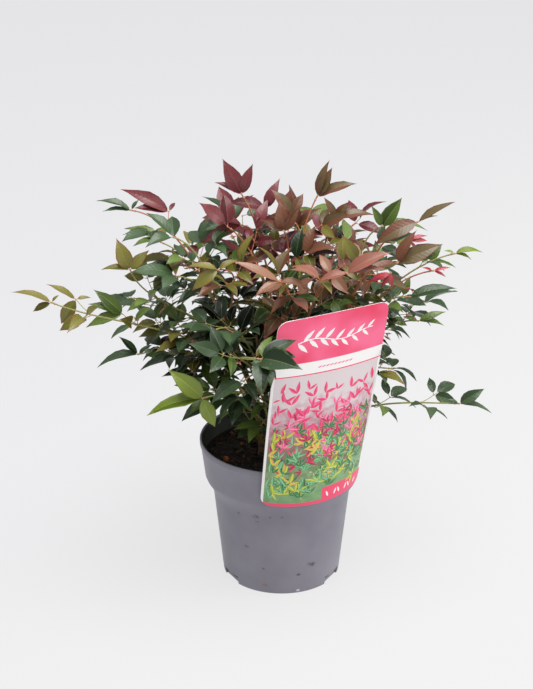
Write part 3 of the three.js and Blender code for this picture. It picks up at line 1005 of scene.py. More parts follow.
    def leaf_stem(self) -> None:
        """Puts more stalks between a stem's joints and further in along it."""
        curve = self.spray.curve
        back = FINER.stem_step / 2
        while back < curve.length * FINER.stem_reach:
            share = 1 - back / curve.length
            place = curve.at(share)
            ahead = unit(curve.at(min(1.0, share + FINER.stem_look)) - place + UP * TINY)
            for hand in (1, -1):
                side = turned(ahead, UP, hand * self.random.between(*FINER.stem_turn))
                out = unit(side + UP * self.random.between(*FINER.stem_rise))
                hub = place + out * self.random.between(*FINER.stem_stalk)
                size = self.spray.row.leaf * self.random.between(*FINER.stem_leaf)
                self.sprig(place, hub, size)
            back += FINER.stem_step * self.random.between(*FINER.stem_stir)


class Crown:
    """The canes and sprays, grown by the rule that made the solids."""

    def __init__(self, card: CardSurface) -> None:
        """Grows the whole crown.

        Args:
            card: The care card that it grows round.
        """
        self.canes = [grow_cane(row) for row in CANES]
        self.sprays: list[Spray] = []
        self.shoots: list[Spray] = []
        taken = card.blocks()
        for row in (*SPRAYS, *tier_rows()):
            stems = [block for spray in self.sprays for block in spray.blocks]
            self.sprays.append(self.grow_stem(row, [*taken, *stems]))
        taken += [block for cane in self.canes for block in cane.blocks]
        for index, spray in enumerate(self.sprays):
            others = [block for other in self.sprays if other is not spray
                      for block in other.blocks]
            Grower(spray, Room([*taken, *others]), Lehmer(index + 1), spray.row.tint).grow()
            taken += spray.room
        self.room = Room([*taken, *(block for spray in self.sprays for block in spray.blocks)])

    @staticmethod
    def stem_curve(row: SprayRow, cane: Cane, shift: float, bow: float) -> Bezier:
        """Draws a stem from a cane out to its end joint.

        Args:
            row: The spray's place.
            cane: The cane that carries it.
            shift: How far its start moves along the cane, as a share.
            bow: How far it bows to the side.

        Returns:
            The stem's curve.
        """
        rise = SPRAY.start_height * (row.height - CANE.foot) - SPRAY.start_reach * row.reach
        share = rise / (cane.row.top - CANE.foot) + shift
        start = cane.curve.at(clamp(share, SPRAY.lowest, SPRAY.highest))
        span = float(np.linalg.norm(row.end - start))
        sideways = leftwards(heading(row.azimuth, 0))
        pitch = SPRAY.lift - SPRAY.ease * row.reach + SPRAY.ease * (row.height - start[2])
        leaving = heading(row.azimuth, clamp(pitch, SPRAY.flattest, SPRAY.steepest))
        arriving = heading(row.aim, row.pitch)
        return Bezier(start, start + leaving * span * SPRAY.start_pull + sideways * bow,
                      row.end - arriving * span * SPRAY.end_pull + sideways * bow * SPRAY.end_bow,
                      row.end)

    def grow_stem(self, row: SprayRow, taken: list[Block]) -> Spray:
        """Finds a stem its way from a near cane to its end joint.

        Args:
            row: The spray's place.
            taken: The room of the card and of earlier stems.

        Returns:
            The spray, still without leaves.
        """
        near = sorted(self.canes,
                      key=lambda cane: float(np.linalg.norm(cane.curve.points[-1] - row.end)))
        shares = np.arange(SPRAY.steps + 1) / SPRAY.steps
        radii = [mix(SPRAY.base, SPRAY.tip, share) for share in shares]
        for cane in near[:SPRAY.canes]:
            others = [block for other in self.canes if other is not cane
                      for block in other.blocks]
            beside, ahead = Room([*taken, *others]), Room([*taken, *others, *cane.blocks])
            for bow in BOWS:
                for shift in STARTS:
                    curve = self.stem_curve(row, cane, shift, bow)
                    root, *rest = blocks = stretch_blocks(curve.at(shares), radii)
                    if beside.is_free(root) and all(ahead.is_free(block) for block in rest):
                        return Spray(row, curve, blocks)
        raise RuntimeError(f"no free way for the stem of {row.name}")

    def grow_finer(self) -> None:
        """Carries each spray on to finer twigs, then leafs the canes themselves.

        The young lime spray stays as it is, with its three large leaflets.
        """
        for index, spray in enumerate(self.sprays):
            if spray.row.tint is not LIME:
                random = Lehmer(FINER.seed + index)
                grower = Grower(spray, self.room, random, spray.row.tint, finer=True)
                for stalk in list(spray.sprigs):
                    grower.leaf_stalk(stalk)
                grower.leaf_stem()
        for index, cane in enumerate(self.canes):
            self.leaf_cane(cane, Lehmer(FINER.seed * 2 + index))
        for index, spray in enumerate(self.sprays):
            self.sprout(spray, Lehmer(FINER.seed * 3 + index))

    @staticmethod
    def sprout(spray: Spray, random: Lehmer) -> None:
        """Puts tiny ruddy shoots at some of a spray's joints.

        Args:
            spray: The spray.
            random: Source of chance.
        """
        for stalk in spray.sprigs[1:]:
            if random() <= FINER.sprout_chance:
                azimuth = spray.row.azimuth + random.swing(FINER.sprout_turn)
                out = heading(azimuth, random.between(*FINER.sprout_pitch))
                tip = stalk.start + out * random.between(*FINER.sprout_length)
                spray.sprouts.append(Stalk(stalk.start, tip, UP, SCARLET))

    def leaf_cane(self, cane: Cane, random: Lehmer) -> None:
        """Puts short leaf stalks all round a cane, by the golden angle.

        Args:
            cane: The cane.
            random: Source of chance.
        """
        azimuth, back, length = cane.row.azimuth, FINER.cane_start, cane.curve.length
        row = SprayRow(f"{cane.row.name}_shoots", azimuth, 0, 0, 0, 0, 0, FINER.cane_leaf, DARK)
        shoots = Spray(row, cane.curve, [])
        while back < length:
            place = cane.curve.at(back / length)
            azimuth += GOLDEN_ANGLE
            shoots.row = replace(row, azimuth=azimuth)
            away = azimuth + random.swing(FINER.cane_stir)
            out = heading(away, random.between(*FINER.cane_pitch))
            hub = place + out * random.between(*FINER.cane_stalk)
            size = FINER.cane_leaf * random.between(*FINER.cane_size)
            tint = DARK if random() < FINER.cane_dark else GREEN
            grower = Grower(shoots, self.room, random, tint, finer=True)
            grower.sprig(place + out * CANE.base, hub, size)
            back += FINER.cane_step
        self.shoots.append(shoots)


# ---- Finishes -------------------------------------------------------------
Socket = bpy.types.NodeSocket
Value = float | Socket | tuple[float, ...]
Stops = tuple[tuple[float, str], ...]
Material = bpy.types.Material


def linear(code: str) -> tuple[float, float, float, float]:
    """Turns an sRGB hex code into the linear colour that Blender works in.

    Args:
        code: Six hex digits.

    Returns:
        Linear red, green, blue and alpha.
    """
    shares = [int(code[i:i + 2], 16) / 255 for i in (0, 2, 4)]
    values = [s / 12.92 if s <= 0.04045 else ((s + 0.055) / 1.055) ** 2.4 for s in shares]
    return (*values, 1.0)


def fineness(size: float) -> float:
    """Returns the scale at which a pattern's patches are this many millimetres across."""
    return 1 / (size * MM)


def add_node(tree: bpy.types.NodeTree, kind: str, inputs: dict[str | int, Value] | None = None,
             stops: Stops = (), **settings: object) -> bpy.types.NodeOutputs:
    """Adds a node with its settings, values and links.

    Args:
        tree: The tree that it belongs to.
        kind: The node's type, without the words that all types start with.
        inputs: For each socket, a value or the socket that feeds it.
        stops: Places from 0 to 1 and sRGB hex codes, where it has a ramp.
        **settings: Properties of the node.

    Returns:
        The node's outputs.
    """
    made = tree.nodes.new(f"ShaderNode{kind}")
    for name, setting in settings.items():
        setattr(made, name, setting)
    for socket, value in (inputs or {}).items():
        if isinstance(value, Socket):
            tree.links.new(value, made.inputs[socket])
        else:
            made.inputs[socket].default_value = value
    if stops:
        elements = made.color_ramp.elements
        while len(elements) < len(stops):
            elements.new(0.5)
        for element, (place, code) in zip(elements, stops):
            element.position, element.color = place, linear(code)
    return made.outputs


class Surface:
    """A material in the making, from one plain colour and roughness."""

    def __init__(self, name: str, colour: str, roughness: float) -> None:
        """Starts the material.

        Args:
            name: The material's name.
            colour: Its sRGB hex code.
            roughness: Its roughness, from 0 to 1.
        """
        self.material = bpy.data.materials.new(name)
        self.material.use_nodes = True
        self.material.diffuse_color = linear(colour)
        self.tree = self.material.node_tree
        self.shader = self.tree.nodes["Principled BSDF"].inputs
        self.feed({"Base Color": linear(colour), "Roughness": roughness})

    def feed(self, inputs: dict[str, Value]) -> None:
        """Gives the surface shader values, or links sockets to it.

        Args:
            inputs: For each of the shader's sockets, a value or the socket that feeds it.
        """
        for socket, value in inputs.items():
            if isinstance(value, Socket):
                self.tree.links.new(value, self.shader[socket])
            else:
                self.shader[socket].default_value = value

    def add(self, kind: str, inputs: dict[str | int, Value] | None = None, stops: Stops = (),
            **settings: object) -> bpy.types.NodeOutputs:
        """Adds a node to the material, with arguments and outputs as in add_node."""
        return add_node(self.tree, kind, inputs, stops, **settings)

    def emboss(self, height: Socket, depth: float) -> Material:
        """Ends the work with fine relief.

        Args:
            height: Height of the relief, from 0 to 1.
            depth: Its depth, in millimetres.

        Returns:
            The finished material.
        """
        inputs = {"Height": height, "Distance": depth * MM, "Strength": 1.0}
        self.feed({"Normal": self.add("Bump", inputs)["Normal"]})
        return self.material


@dataclass(frozen=True)
class LeafFinish:
    """Waxy leaf: a soft grey sheen over plain shades, with fine slanting veins.

    Its blades run from dark to light: the darker ones are dealt to leaves deep in the crown, as
    painted shade.
    """

    name: str
    blades: tuple[str, ...]
    margins: tuple[str, ...]
    rib: str
    underside: str
    roughness: float = 0.38
    sheen: Span = (0.08, 0.5)
    vein_slant: float = -0.9
    vein_turns: float = 14.0
    vein_depth: float = 0.028

    def make(self) -> list[Material]:
        """Makes one material for each shade, all with the same veins.

        Returns:
            The materials, blades first, then margins, rib and underside.
        """
        last = len(self.blades) - 1
        codes = (*self.blades, *self.margins, self.rib, self.underside)
        return [self.shade(f"{self.name}_{i + 1}", code, mix(*self.sheen, min(i / last, 1)))
                for i, code in enumerate(codes)]

    def shade(self, name: str, code: str, sheen: float) -> Material:
        """Makes one shade with the veins' relief.

        Args:
            name: The material's name.
            code: Its sRGB hex code.
            sheen: Strength of its gloss, less on the darkest shades, which paint the shade deep in
                the crown.

        Returns:
            The material.
        """
        surface = Surface(name, code, self.roughness)
        surface.feed({"Specular IOR Level": sheen})
        x, y, _ = surface.add("SeparateXYZ", {0: surface.add("UVMap", uv_map="surface")["UV"]})
        out = surface.add("Math", {0: y}, operation="ABSOLUTE")[0]
        slant = surface.add("Math", {0: out, 1: self.vein_slant, 2: x}, operation="MULTIPLY_ADD")
        veins = surface.add("Math", {0: slant[0], 1: self.vein_turns}, operation="MULTIPLY")
        wave = surface.add("Math", {0: veins[0]}, operation="SINE")
        return surface.emboss(wave[0], self.vein_depth)


# Blades from dark to light, the darker ones painted shade for leaves deep in the crown, then
# margins, rib and underside.
LEAF_FINISHES = {tint: LeafFinish(f"{tint.name.lower()}_leaf", *shades) for tint, shades in {
    DARK: (("040604", "0B120A", "1C2B18", "2E4227", "3E5434"), ("2E401F",), "56663A", "4A5C36"),
    GREEN: (("141D0B", "293A16", "3D501F", "4F6428", "607432"), ("4C6026",), "74863C", "68783E"),
    LIME: (("52641C", "647622", "74842E"), ("6A782A",), "90A048", "72823A"),
    OLIVE: (("323414", "4A4C18", "5E5C20", "706C2A"), ("82542E", "7A5028"), "827C3C", "6C6632"),
    BRONZE: (("24120C", "442418", "563822", "68402C", "5E5030"), ("68301E", "5A2C20"),
             "7C5230", "705038"),
    BURGUNDY: (("280D0F", "46181C", "5C2024", "6C2C30"), ("641E24",), "7C3E32", "6E3A38"),
    SALMON: (("4C3E26", "624A30", "7A5640", "8A5446", "8C654E"), ("904A3E", "984F46"),
             "94704F", "80664A"),
    SCARLET: (("80202C", "9C2E3A", "B03E48"), ("A42C38",), "B8504C", "9E4448"),
}.items()}


@dataclass(frozen=True)
class TwigFinish:
    """Smooth green or ruddy twig skin, with a satin sheen."""

    name: str
    colour: str
    roughness: float = 0.45
    grain: float = 0.8
    grain_depth: float = 0.05

    def make(self) -> Material:
        """Makes the skin with its fine grain.

        Returns:
            The material.
        """
        surface = Surface(self.name, self.colour, self.roughness)
        grain = surface.add("TexNoise", {"Vector": surface.add("TexCoord")["Object"],
                                         "Scale": fineness(self.grain), "Detail": 2})
        return surface.emboss(grain["Fac"], self.grain_depth)


class TwigTone(Enum):
    """Twig colours; the joints are pinker than the twigs."""

    OLIVE = TwigFinish("olive_twig", "8C8A4C")
    LIME = TwigFinish("lime_twig", "A2AE58")
    RUDDY = TwigFinish("ruddy_twig", "B4714E")
    JOINT = TwigFinish("pink_joint", "C08468")


TWIG_TONES = dict.fromkeys(Tint, TwigTone.RUDDY) | {
    DARK: TwigTone.OLIVE, GREEN: TwigTone.OLIVE, LIME: TwigTone.LIME}


@dataclass(frozen=True)
class MatterFinish:
    """Dull natural matter with a rough skin, such as soil, bark crumbs and fibres."""

    name: str
    light: str
    dark: str
    patch: float = 3
    roughness: float = 0.95
    spots: Span = (0.4, 0.68)
    grain: float = 0.0
    depth: float = 0.3

    def make(self) -> Material:
        """Makes the matter, spotted from dark to light, with a finer grain.

        Returns:
            The material.
        """
        surface = Surface(self.name, self.light, self.roughness)
        place = surface.add("TexCoord")["Object"]
        patches, grain = (surface.add("TexNoise", {"Vector": place, "Scale": fineness(size),
                                                   "Detail": detail})["Fac"]
                          for size, detail in ((self.patch, 4), (self.grain or self.patch / 3, 3)))
        stops = tuple(zip(self.spots, (self.dark, self.light)))
        surface.feed({"Base Color": surface.add("ValToRGB", {"Fac": patches}, stops)["Color"]})
        return surface.emboss(grain, self.depth)


# Grey-brown bark of thin canes: light ridges over dark furrows, and matte.
BARK = MatterFinish("cane_bark", "8C7358", "4E3B2C", 5, 0.85, (0.35, 0.65), 1.2, 0.4)


@dataclass(frozen=True)
class Scuff:
    """A mark on the pot's wall, by its angle and height and its size."""

    azimuth: float
    height: float
    size: float
    reach: float = 75


@dataclass(frozen=True)
class PotFinish:
    """Moulded polypropylene: matte cool grey, mottled and scuffed by handling."""

    light: str = "87848F"
    dark: str = "7B7884"
    # Dark colours for the rubbed marks outside and for the inner wall, whose darkness is soil
    # stain and painted shade.
    dirt_and_shade: str = "34323A"
    stain_and_shade: str = "17160F"
    clay: str = "8A5A44"
    bare: str = "D8D6DC"
    roughness: float = 0.46
    clouds: Span = (0.35, 0.7)
    cloud_size: float = 40
    tear_size: float = 2.6
    tears: Span = (0.4, 0.56)
    grain: float = 0.7
    grain_depth: float = 0.04
    scuffs: tuple[Scuff, ...] = tuple(Scuff(*row) for row in (
        (231, 92, 3), (248, 94, 4.2), (249, 88, 2.6), (260, 95, 2.4), (270, 96, 2.4),
        (237, 54, 3), (253, 30, 2.6), (298, 33, 5.4), (286, 23, 2.8), (30, 60, 4),
        (75, 40, 3), (120, 84, 3.4), (160, 52, 3), (196, 70, 3.6), (340, 76, 3)))
    scuff_shape: Place = (1.3, 1.3, 0.8)
    scuff_fade: Span = (1.0, 0.2)
    scuff_foot: float = 61.5
    scuff_top: float = 109
    smear: Scuff = Scuff(254, 10, 3.4)
    smear_share: float = 0.7
    nick: Scuff = Scuff(286, 3.4, 2.2)
    # The inner wall: its roughness, the ragged line of its soil stain and painted shade, and its
    # grain.
    wet_roughness: float = 0.6
    stain_shade_line: Span = (0.150, 0.162)
    stain_shade_share: float = 0.8
    stain_shade_edge: float = 0.012
    stain_shade_patch: float = 9
    wet_grain: float = 1.5
    wet_depth: float = 0.1

    def make(self) -> Material:
        """Makes the outer plastic: faint clouds, rub marks and a fine moulded grain.

        Returns:
            The material.
        """
        surface = Surface("pot_plastic", self.light, self.roughness)
        place = surface.add("TexCoord")["Object"]
        clouds, torn, grain = (
            surface.add("TexNoise", {"Vector": place, "Scale": fineness(size),
                                     "Detail": detail})["Fac"]
            for size, detail in ((self.cloud_size, 3), (self.tear_size, 4), (self.grain, 2)))
        stops = tuple(zip(self.clouds, (self.dark, self.light)))
        colour = surface.add("ValToRGB", {"Fac": clouds}, stops)["Color"]
        torn = surface.add("MapRange", {"Value": torn, "From Min": self.tears[0],
                                        "From Max": self.tears[1], "To Max": 1.0})[0]
        marks, *others = [self.spot(surface, scuff) for scuff in self.scuffs]
        for mark in others:
            marks = surface.add("Math", {0: marks, 1: mark}, operation="MAXIMUM")[0]
        smear = self.spot(surface, self.smear)
        rubbed, smeared = (surface.add("Math", {0: mark, 1: share}, operation="MULTIPLY")[0]
                           for mark, share in ((marks, torn), (smear, self.smear_share)))
        for share, code in ((rubbed, self.dirt_and_shade), (smeared, self.clay),
                            (self.spot(surface, self.nick), self.bare)):
            colour = surface.add("Mix", {0: share, 6: colour, 7: linear(code)},
                                 data_type="RGBA")[2]
        surface.feed({"Base Color": colour})
        return surface.emboss(grain, self.grain_depth)

    def spot(self, surface: Surface, scuff: Scuff) -> Socket:
        """Makes a soft spot, wider than high, that fades from 1 at its middle to 0.

        Args:
            surface: The material in the making.
            scuff: Its place and size.

        Returns:
            The spot's strength.
        """
        reach = mix(self.scuff_foot, scuff.reach, scuff.height / self.scuff_top)
        middle = tuple(polar(scuff.azimuth, reach, scuff.height) * MM)
        shape = tuple(fineness(scuff.size * share) for share in self.scuff_shape)
        far = surface.add("TexCoord")["Object"]
        for other, operation in ((middle, "SUBTRACT"), (shape, "MULTIPLY")):
            far = surface.add("VectorMath", {0: far, 1: other}, operation=operation)[0]
        far = surface.add("VectorMath", {0: far}, operation="LENGTH")["Value"]
        start, end = self.scuff_fade
        return surface.add("MapRange", {"Value": far, "From Min": start, "From Max": end})[0]

    def make_inside(self) -> Material:
        """Makes the inner wall: the same plastic, darkened by soil stain and painted shade, near
        black up to a ragged line near the rim and dark grey above it.

        Returns:
            The material.
        """
        surface = Surface("soil_stain_and_shade_plastic", self.stain_and_shade, self.wet_roughness)
        place = surface.add("TexCoord")["Object"]
        edge, grain = (
            surface.add("TexNoise", {"Vector": place, "Scale": fineness(size),
                                     "Detail": detail})["Fac"]
            for size, detail in ((self.stain_shade_patch, 4), (self.wet_grain, 3)))
        height = surface.add("SeparateXYZ", {0: place})["Z"]
        ragged = surface.add("Math", {0: edge, 1: self.stain_shade_edge, 2: height},
                             operation="MULTIPLY_ADD")[0]
        share = surface.add("MapRange", {"Value": ragged, "From Min": self.stain_shade_line[0],
                                         "From Max": self.stain_shade_line[1], "To Max": self.stain_shade_share})
        # Near black low down, dark grey near the rim: soil stain and painted shade.
        stops = ((0.0, self.stain_and_shade), (1.0, self.dirt_and_shade))
        surface.feed({"Base Color": surface.add("ValToRGB", {"Fac": share[0]}, stops)["Color"]})
        return surface.emboss(grain, self.wet_depth)


@dataclass(frozen=True)
class PrintFinish:
    """Printed plastic card: ink under a thin satin film, mostly even; the header's soft clouds of
    two inks are painted glare.
    """

    name: str
    ink: str
    # second ink of the clouds; on the header these paint glare
    cloud: str = ""
    patch: float = 30
    detail: float = 2
    roughness: float = 0.34
    coat: float = 0.15
    peel: float = 3
    peel_depth: float = 0.01
    spread: Span = (0.36, 0.64)

    def make(self) -> Material:
        """Makes the ink with the film's faint orange-peel.

        Returns:
            The material.
        """
        surface = Surface(self.name, self.ink, self.roughness)
        place = surface.add("TexCoord")["Object"]
        peel = surface.add("TexNoise", {"Vector": place, "Scale": fineness(self.peel),
                                        "Detail": 1})["Fac"]
        surface.feed({"Coat Weight": self.coat})
        if self.cloud:
            surface.feed({"Base Color": self.colour(surface, surface.add("TexNoise", {
                "Vector": place, "Scale": fineness(self.patch), "Detail": self.detail})["Fac"])})
        return surface.emboss(peel, self.peel_depth)

    def colour(self, surface: Surface, patches: Socket) -> Socket:
        """Returns the print's colour, in clouds of two inks by the noise's patches: painted glare
        from the card's bends.
        """
        stops = tuple(zip(self.spread, (self.cloud, self.ink)))
        return surface.add("ValToRGB", {"Fac": patches}, stops)["Color"]


@dataclass(frozen=True)
class PictureFinish(PrintFinish):
    """Printed picture ground: blurred greenery that fades upwards to a pale wall."""

    name: str = "picture_ground_ink"
    ink: str = "DCCFD0"
    cloud: str = "5C8A58"
    patch: float = 7
    detail: float = 3
    stops: Stops = ((0.1, "5C8A58"), (0.3, "86AC78"), (0.42, "6E7A52"), (0.52, "A06A74"),
                    (0.62, "C79CA6"), (0.74, "DDD0D3"))
    raggedness: float = 0.34

    def colour(self, surface: Surface, patches: Socket) -> Socket:
        """Colours the ground by the height on the card, broken up by leaf-sized noise.

        Args:
            surface: The material in the making.
            patches: The noise that breaks it up.

        Returns:
            The ground's colour.
        """
        height = surface.add("SeparateXYZ", {0: surface.add("UVMap", uv_map="surface")[0]})["Y"]
        ragged = surface.add("Math", {0: patches, 1: self.raggedness, 2: height},
                             operation="MULTIPLY_ADD")[0]
        return surface.add("ValToRGB", {"Fac": ragged}, self.stops)["Color"]


@dataclass(frozen=True)
class BackdropFinish:
    """Seamless white paper that glows, a painted light that keeps shadows on it faint."""

    colour: str = "5A5A5A"
    near: str = "E3E3E3"
    far: str = "DFDFE1"
    start: float = -0.5
    depth: float = 1.2
    slant: float = -2.0
    glow: float = 0.95
    roughness: float = 0.9

    def make(self) -> Material:
        """Makes the paper, which glows evenly and dims a little far back.

        Returns:
            The material.
        """
        surface = Surface("backdrop_paper", self.colour, self.roughness)
        x, y, _ = surface.add("SeparateXYZ", {0: surface.add("TexCoord")["Object"]})
        back = surface.add("Math", {0: x, 1: self.slant, 2: y}, operation="MULTIPLY_ADD")
        share = surface.add("MapRange", {"Value": back[0], "From Min": self.start,
                                         "From Max": self.depth},
                            interpolation_type="SMOOTHSTEP")
        stops = ((0.0, self.near), (1.0, self.far))
        glow = surface.add("ValToRGB", {"Fac": share[0]}, stops)["Color"]
        surface.feed({"Specular IOR Level": 0.0, "Emission Color": glow,
                        "Emission Strength": self.glow})
        return surface.material


# ---- Meshes ---------------------------------------------------------------
def add_object(name: str, data: bpy.types.ID) -> bpy.types.Object:
    """Puts a mesh, lamp or camera into the scene.

    Args:
        name: The object's name.
        data: Its data.

    Returns:
        The object.
    """
    made = bpy.data.objects.new(name, data)
    bpy.context.scene.collection.objects.link(made)
    return made


def to_mesh(work: bmesh.types.BMesh, name: str,
            finishes: Iterable[Material] = ()) -> bpy.types.Mesh:
    """Turns finished mesh work into a mesh.

    Args:
        work: The work, which is freed.
        name: The mesh's name.
        finishes: Its materials.

    Returns:
        The mesh.
    """
    mesh = bpy.data.meshes.new(name)
    work.to_mesh(mesh)
    work.free()
    for finish in finishes:
        mesh.materials.append(finish)
    return mesh


def place_piece(mesh: bpy.types.Mesh, crease: float) -> bpy.types.Object:
    """Puts a finished mesh into the scene, smooth up to its creases.

    Args:
        mesh: The mesh, already in place.
        crease: Angle past which an edge stays sharp, in degrees.

    Returns:
        The piece.
    """
    mesh.shade_smooth()
    mesh.set_sharp_from_angle(angle=math.radians(crease))
    LOG.info("%s: %d faces", mesh.name, len(mesh.polygons))
    return add_object(mesh.name, mesh)


def dress(piece: bpy.types.Object, slot: str, *nodes: str) -> bpy.types.Object:
    """Lets a piece ride with the plant and stand for its nodes.

    Args:
        piece: The piece.
        slot: Its material slot, not used.
        *nodes: The nodes that it replaces.

    Returns:
        The piece.
    """
    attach(piece, BODY)
    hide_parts(*nodes)
    return piece


class Batch:
    """Many small shapes that are gathered and written as one mesh."""

    def __init__(self) -> None:
        """Starts an empty batch."""
        self.points: list[Array] = []
        self.faces: Faces = []
        self.kinds: list[int] = []
        self.places: list[Array] = []
        self.count = 0

    def add(self, points: Array, faces: Faces, kinds: Sequence[int] | int = 0,
            places: Array | None = None) -> None:
        """Adds one shape.

        Args:
            points: Its points, in millimetres.
            faces: Its faces, by number of the point.
            kinds: Material number of each face, or one for all.
            places: The UV place of each point.
        """
        self.points.append(points)
        self.faces.extend(tuple(self.count + i for i in face) for face in faces)
        self.kinds.extend([kinds] * len(faces) if isinstance(kinds, int) else kinds)
        self.places.append(np.zeros((len(points), 2)) if places is None else places)
        self.count += len(points)

    def write(self, name: str, finishes: Sequence[Material], crease: float) -> bpy.types.Object:
        """Writes the batch as one piece of the scene.

        Args:
            name: The piece's name.
            finishes: Its materials.
            crease: Angle past which an edge stays sharp, in degrees.

        Returns:
            The piece.
        """
        mesh = bpy.data.meshes.new(name)
        mesh.from_pydata(np.vstack(self.points) * MM, [], self.faces)
        for finish in finishes:
            mesh.materials.append(finish)
        mesh.polygons.foreach_set("material_index", self.kinds)
        corners = np.empty(len(mesh.loops), np.int32)
        mesh.loops.foreach_get("vertex_index", corners)
        layer = mesh.uv_layers.new(name="surface")
        layer.data.foreach_set("uv", np.vstack(self.places)[corners].ravel())
        return place_piece(mesh, crease)


def tube(path: Array, radii: Array, sides: int) -> tuple[Array, Faces]:
    """Makes a closed tube along a path.

    Args:
        path: Points along its middle.
        radii: Its radius at each point, or at each point and side.
        sides: Number of sides.

    Returns:
        The tube's points and faces.
    """
    lines = np.gradient(path, axis=0)
    lines /= np.linalg.norm(lines, axis=1)[:, None]
    normal = crossing(lines[0])
    around = np.arange(sides) * 2 * math.pi / sides
    rows = []
    for place, line, radius in zip(path, lines, radii):
        normal = square_to(normal, line)
        across = np.cross(line, normal)
        spread = np.cos(around)[:, None] * normal + np.sin(around)[:, None] * across
        rows.append(place + spread * np.reshape(radius, (-1, 1)))
    faces: Faces = [tuple(reversed(range(sides)))]
    for ring in range(len(path) - 1):
        for side in range(sides):
            a, b = ring * sides + side, ring * sides + (side + 1) % sides
            faces.append((a, b, b + sides, a + sides))
    last = (len(path) - 1) * sides
    faces.append(tuple(range(last, last + sides)))
    return np.vstack(rows), faces


# ---- Leaves and twigs -----------------------------------------------------
@dataclass(frozen=True)
class LeafForm:
    """A leaflet's outline and relief, as shares of its length."""

    stations: tuple[float, ...] = (0.03, 0.13, 0.3, 0.5, 0.7, 0.86, 0.95)
    columns: tuple[float, ...] = (-1, -0.84, -0.03, 0.03, 0.84, 1)
    under: tuple[float, ...] = (-0.66, 0, 0.66)
    half_width: float = 0.248
    widest: float = 0.4
    fullness: float = 0.7
    taper: float = 1.04
    tip_draw: float = 0.62
    tip_power: int = 5
    tip_rows: int = 2
    rise: float = 0.3033
    fall: float = 0.3833
    fold: float = 0.075
    thick: float = 0.32
    droops: Span = (0.7, 1.75)
    folds: Span = (0.2, 1.5)
    sway: float = 0.16
    widths: Span = (0.85, 1.12)
    waves: Span = (0.004, 0.02)
    phases: Span = (0, 6.28)
    wave_turns: float = 11
    print_scale: float = 10

    def faces(self) -> Faces:
        """Lists the faces of the upper and under side, which share the rim.

        Returns:
            The faces, by number of the point.
        """
        wide, deep, low = len(self.columns), len(self.stations), len(self.under)
        tip = wide * deep + 1
        upper = [[1 + row * wide + column for column in range(wide)] for row in range(deep)]
        below = [[rims[0], *(tip + 1 + row * low + i for i in range(low)), rims[-1]]
                 for row, rims in enumerate(upper)]
        faces: Faces = []
        for rows, flip in ((upper, False), (below, True)):
            for column in range(len(rows[0]) - 1):
                strip = [(0, rows[0][column], rows[0][column + 1])]
                strip += [(a[column], b[column], b[column + 1], a[column + 1])
                          for a, b in zip(rows, rows[1:])]
                strip += [(rows[-1][column], tip, rows[-1][column + 1])]
                faces.extend(face if flip else tuple(reversed(face)) for face in strip)
        return faces

    def kinds(self, blade: int, other: int, margin: int, rib: int, under: int) -> list[int]:
        """Deals the material numbers to the faces.

        Args:
            blade: Material of one half of the blade.
            other: Material of its other half, a nearby shade that paints a difference of light
                across the fold.
            margin: Material of the strips along the rim.
            rib: Material of the midrib.
            under: Material of the underside.

        Returns:
            The number for each face.
        """
        deep = len(self.stations) + 1
        strips = [(margin, margin), (blade, margin), (rib, rib), (other, margin), (margin, margin)]
        strips += [(under, under)] * (len(self.under) + 1)
        return [kind if row < deep - self.tip_rows else tip
                for kind, tip in strips for row in range(deep)]

    def shape(self, leaf: Leaflet, random: Lehmer) -> tuple[Array, Array]:
        """Shapes one leaflet, a little different from every other.

        Args:
            leaf: Its place and size.
            random: Source of chance.

        Returns:
            Its points, in millimetres, and their UV places, in centimetres.
        """
        droop, fold = random.between(*self.droops), random.between(*self.folds)
        sway = random.swing(self.sway)
        width = leaf.width * self.half_width * random.between(*self.widths)
        wave, phase = random.between(*self.waves), random.between(*self.phases)
        rows = np.array(self.stations)
        bloom = (rows / self.widest) ** self.fullness
        bloom *= ((1 - rows) / (1 - self.widest)) ** self.taper
        bloom *= 1 - self.tip_draw * rows**self.tip_power
        half = width * np.minimum(bloom, 1.0)
        sides = []
        for columns, sink in ((self.columns, 0), (self.under, self.thick / leaf.length)):
            along, across = np.meshgrid(rows, np.array(columns), indexing="ij")
            out = np.abs(across)
            height = self.fold * fold * out * (half[:, None] / self.half_width)
            height += wave * out**2 * np.sin(along * self.wave_turns + phase + across) - sink
            side = np.stack([along, across * half[:, None], height], axis=-1)
            sides.append(side.reshape(-1, 3))
        local = np.vstack([np.zeros((1, 3)), sides[0], EAST[None], sides[1]])
        places = local[:, :2] * leaf.length / self.print_scale
        local[:, 1] += sway * local[:, 0] ** 2
        local[:, 2] += self.rise * local[:, 0] - self.fall * droop * local[:, 0] ** 2
        side = unit(np.cross(leaf.up, leaf.line))
        axes = np.array([leaf.line, side, np.cross(leaf.line, side)])
        return leaf.root + local @ axes * leaf.length, places


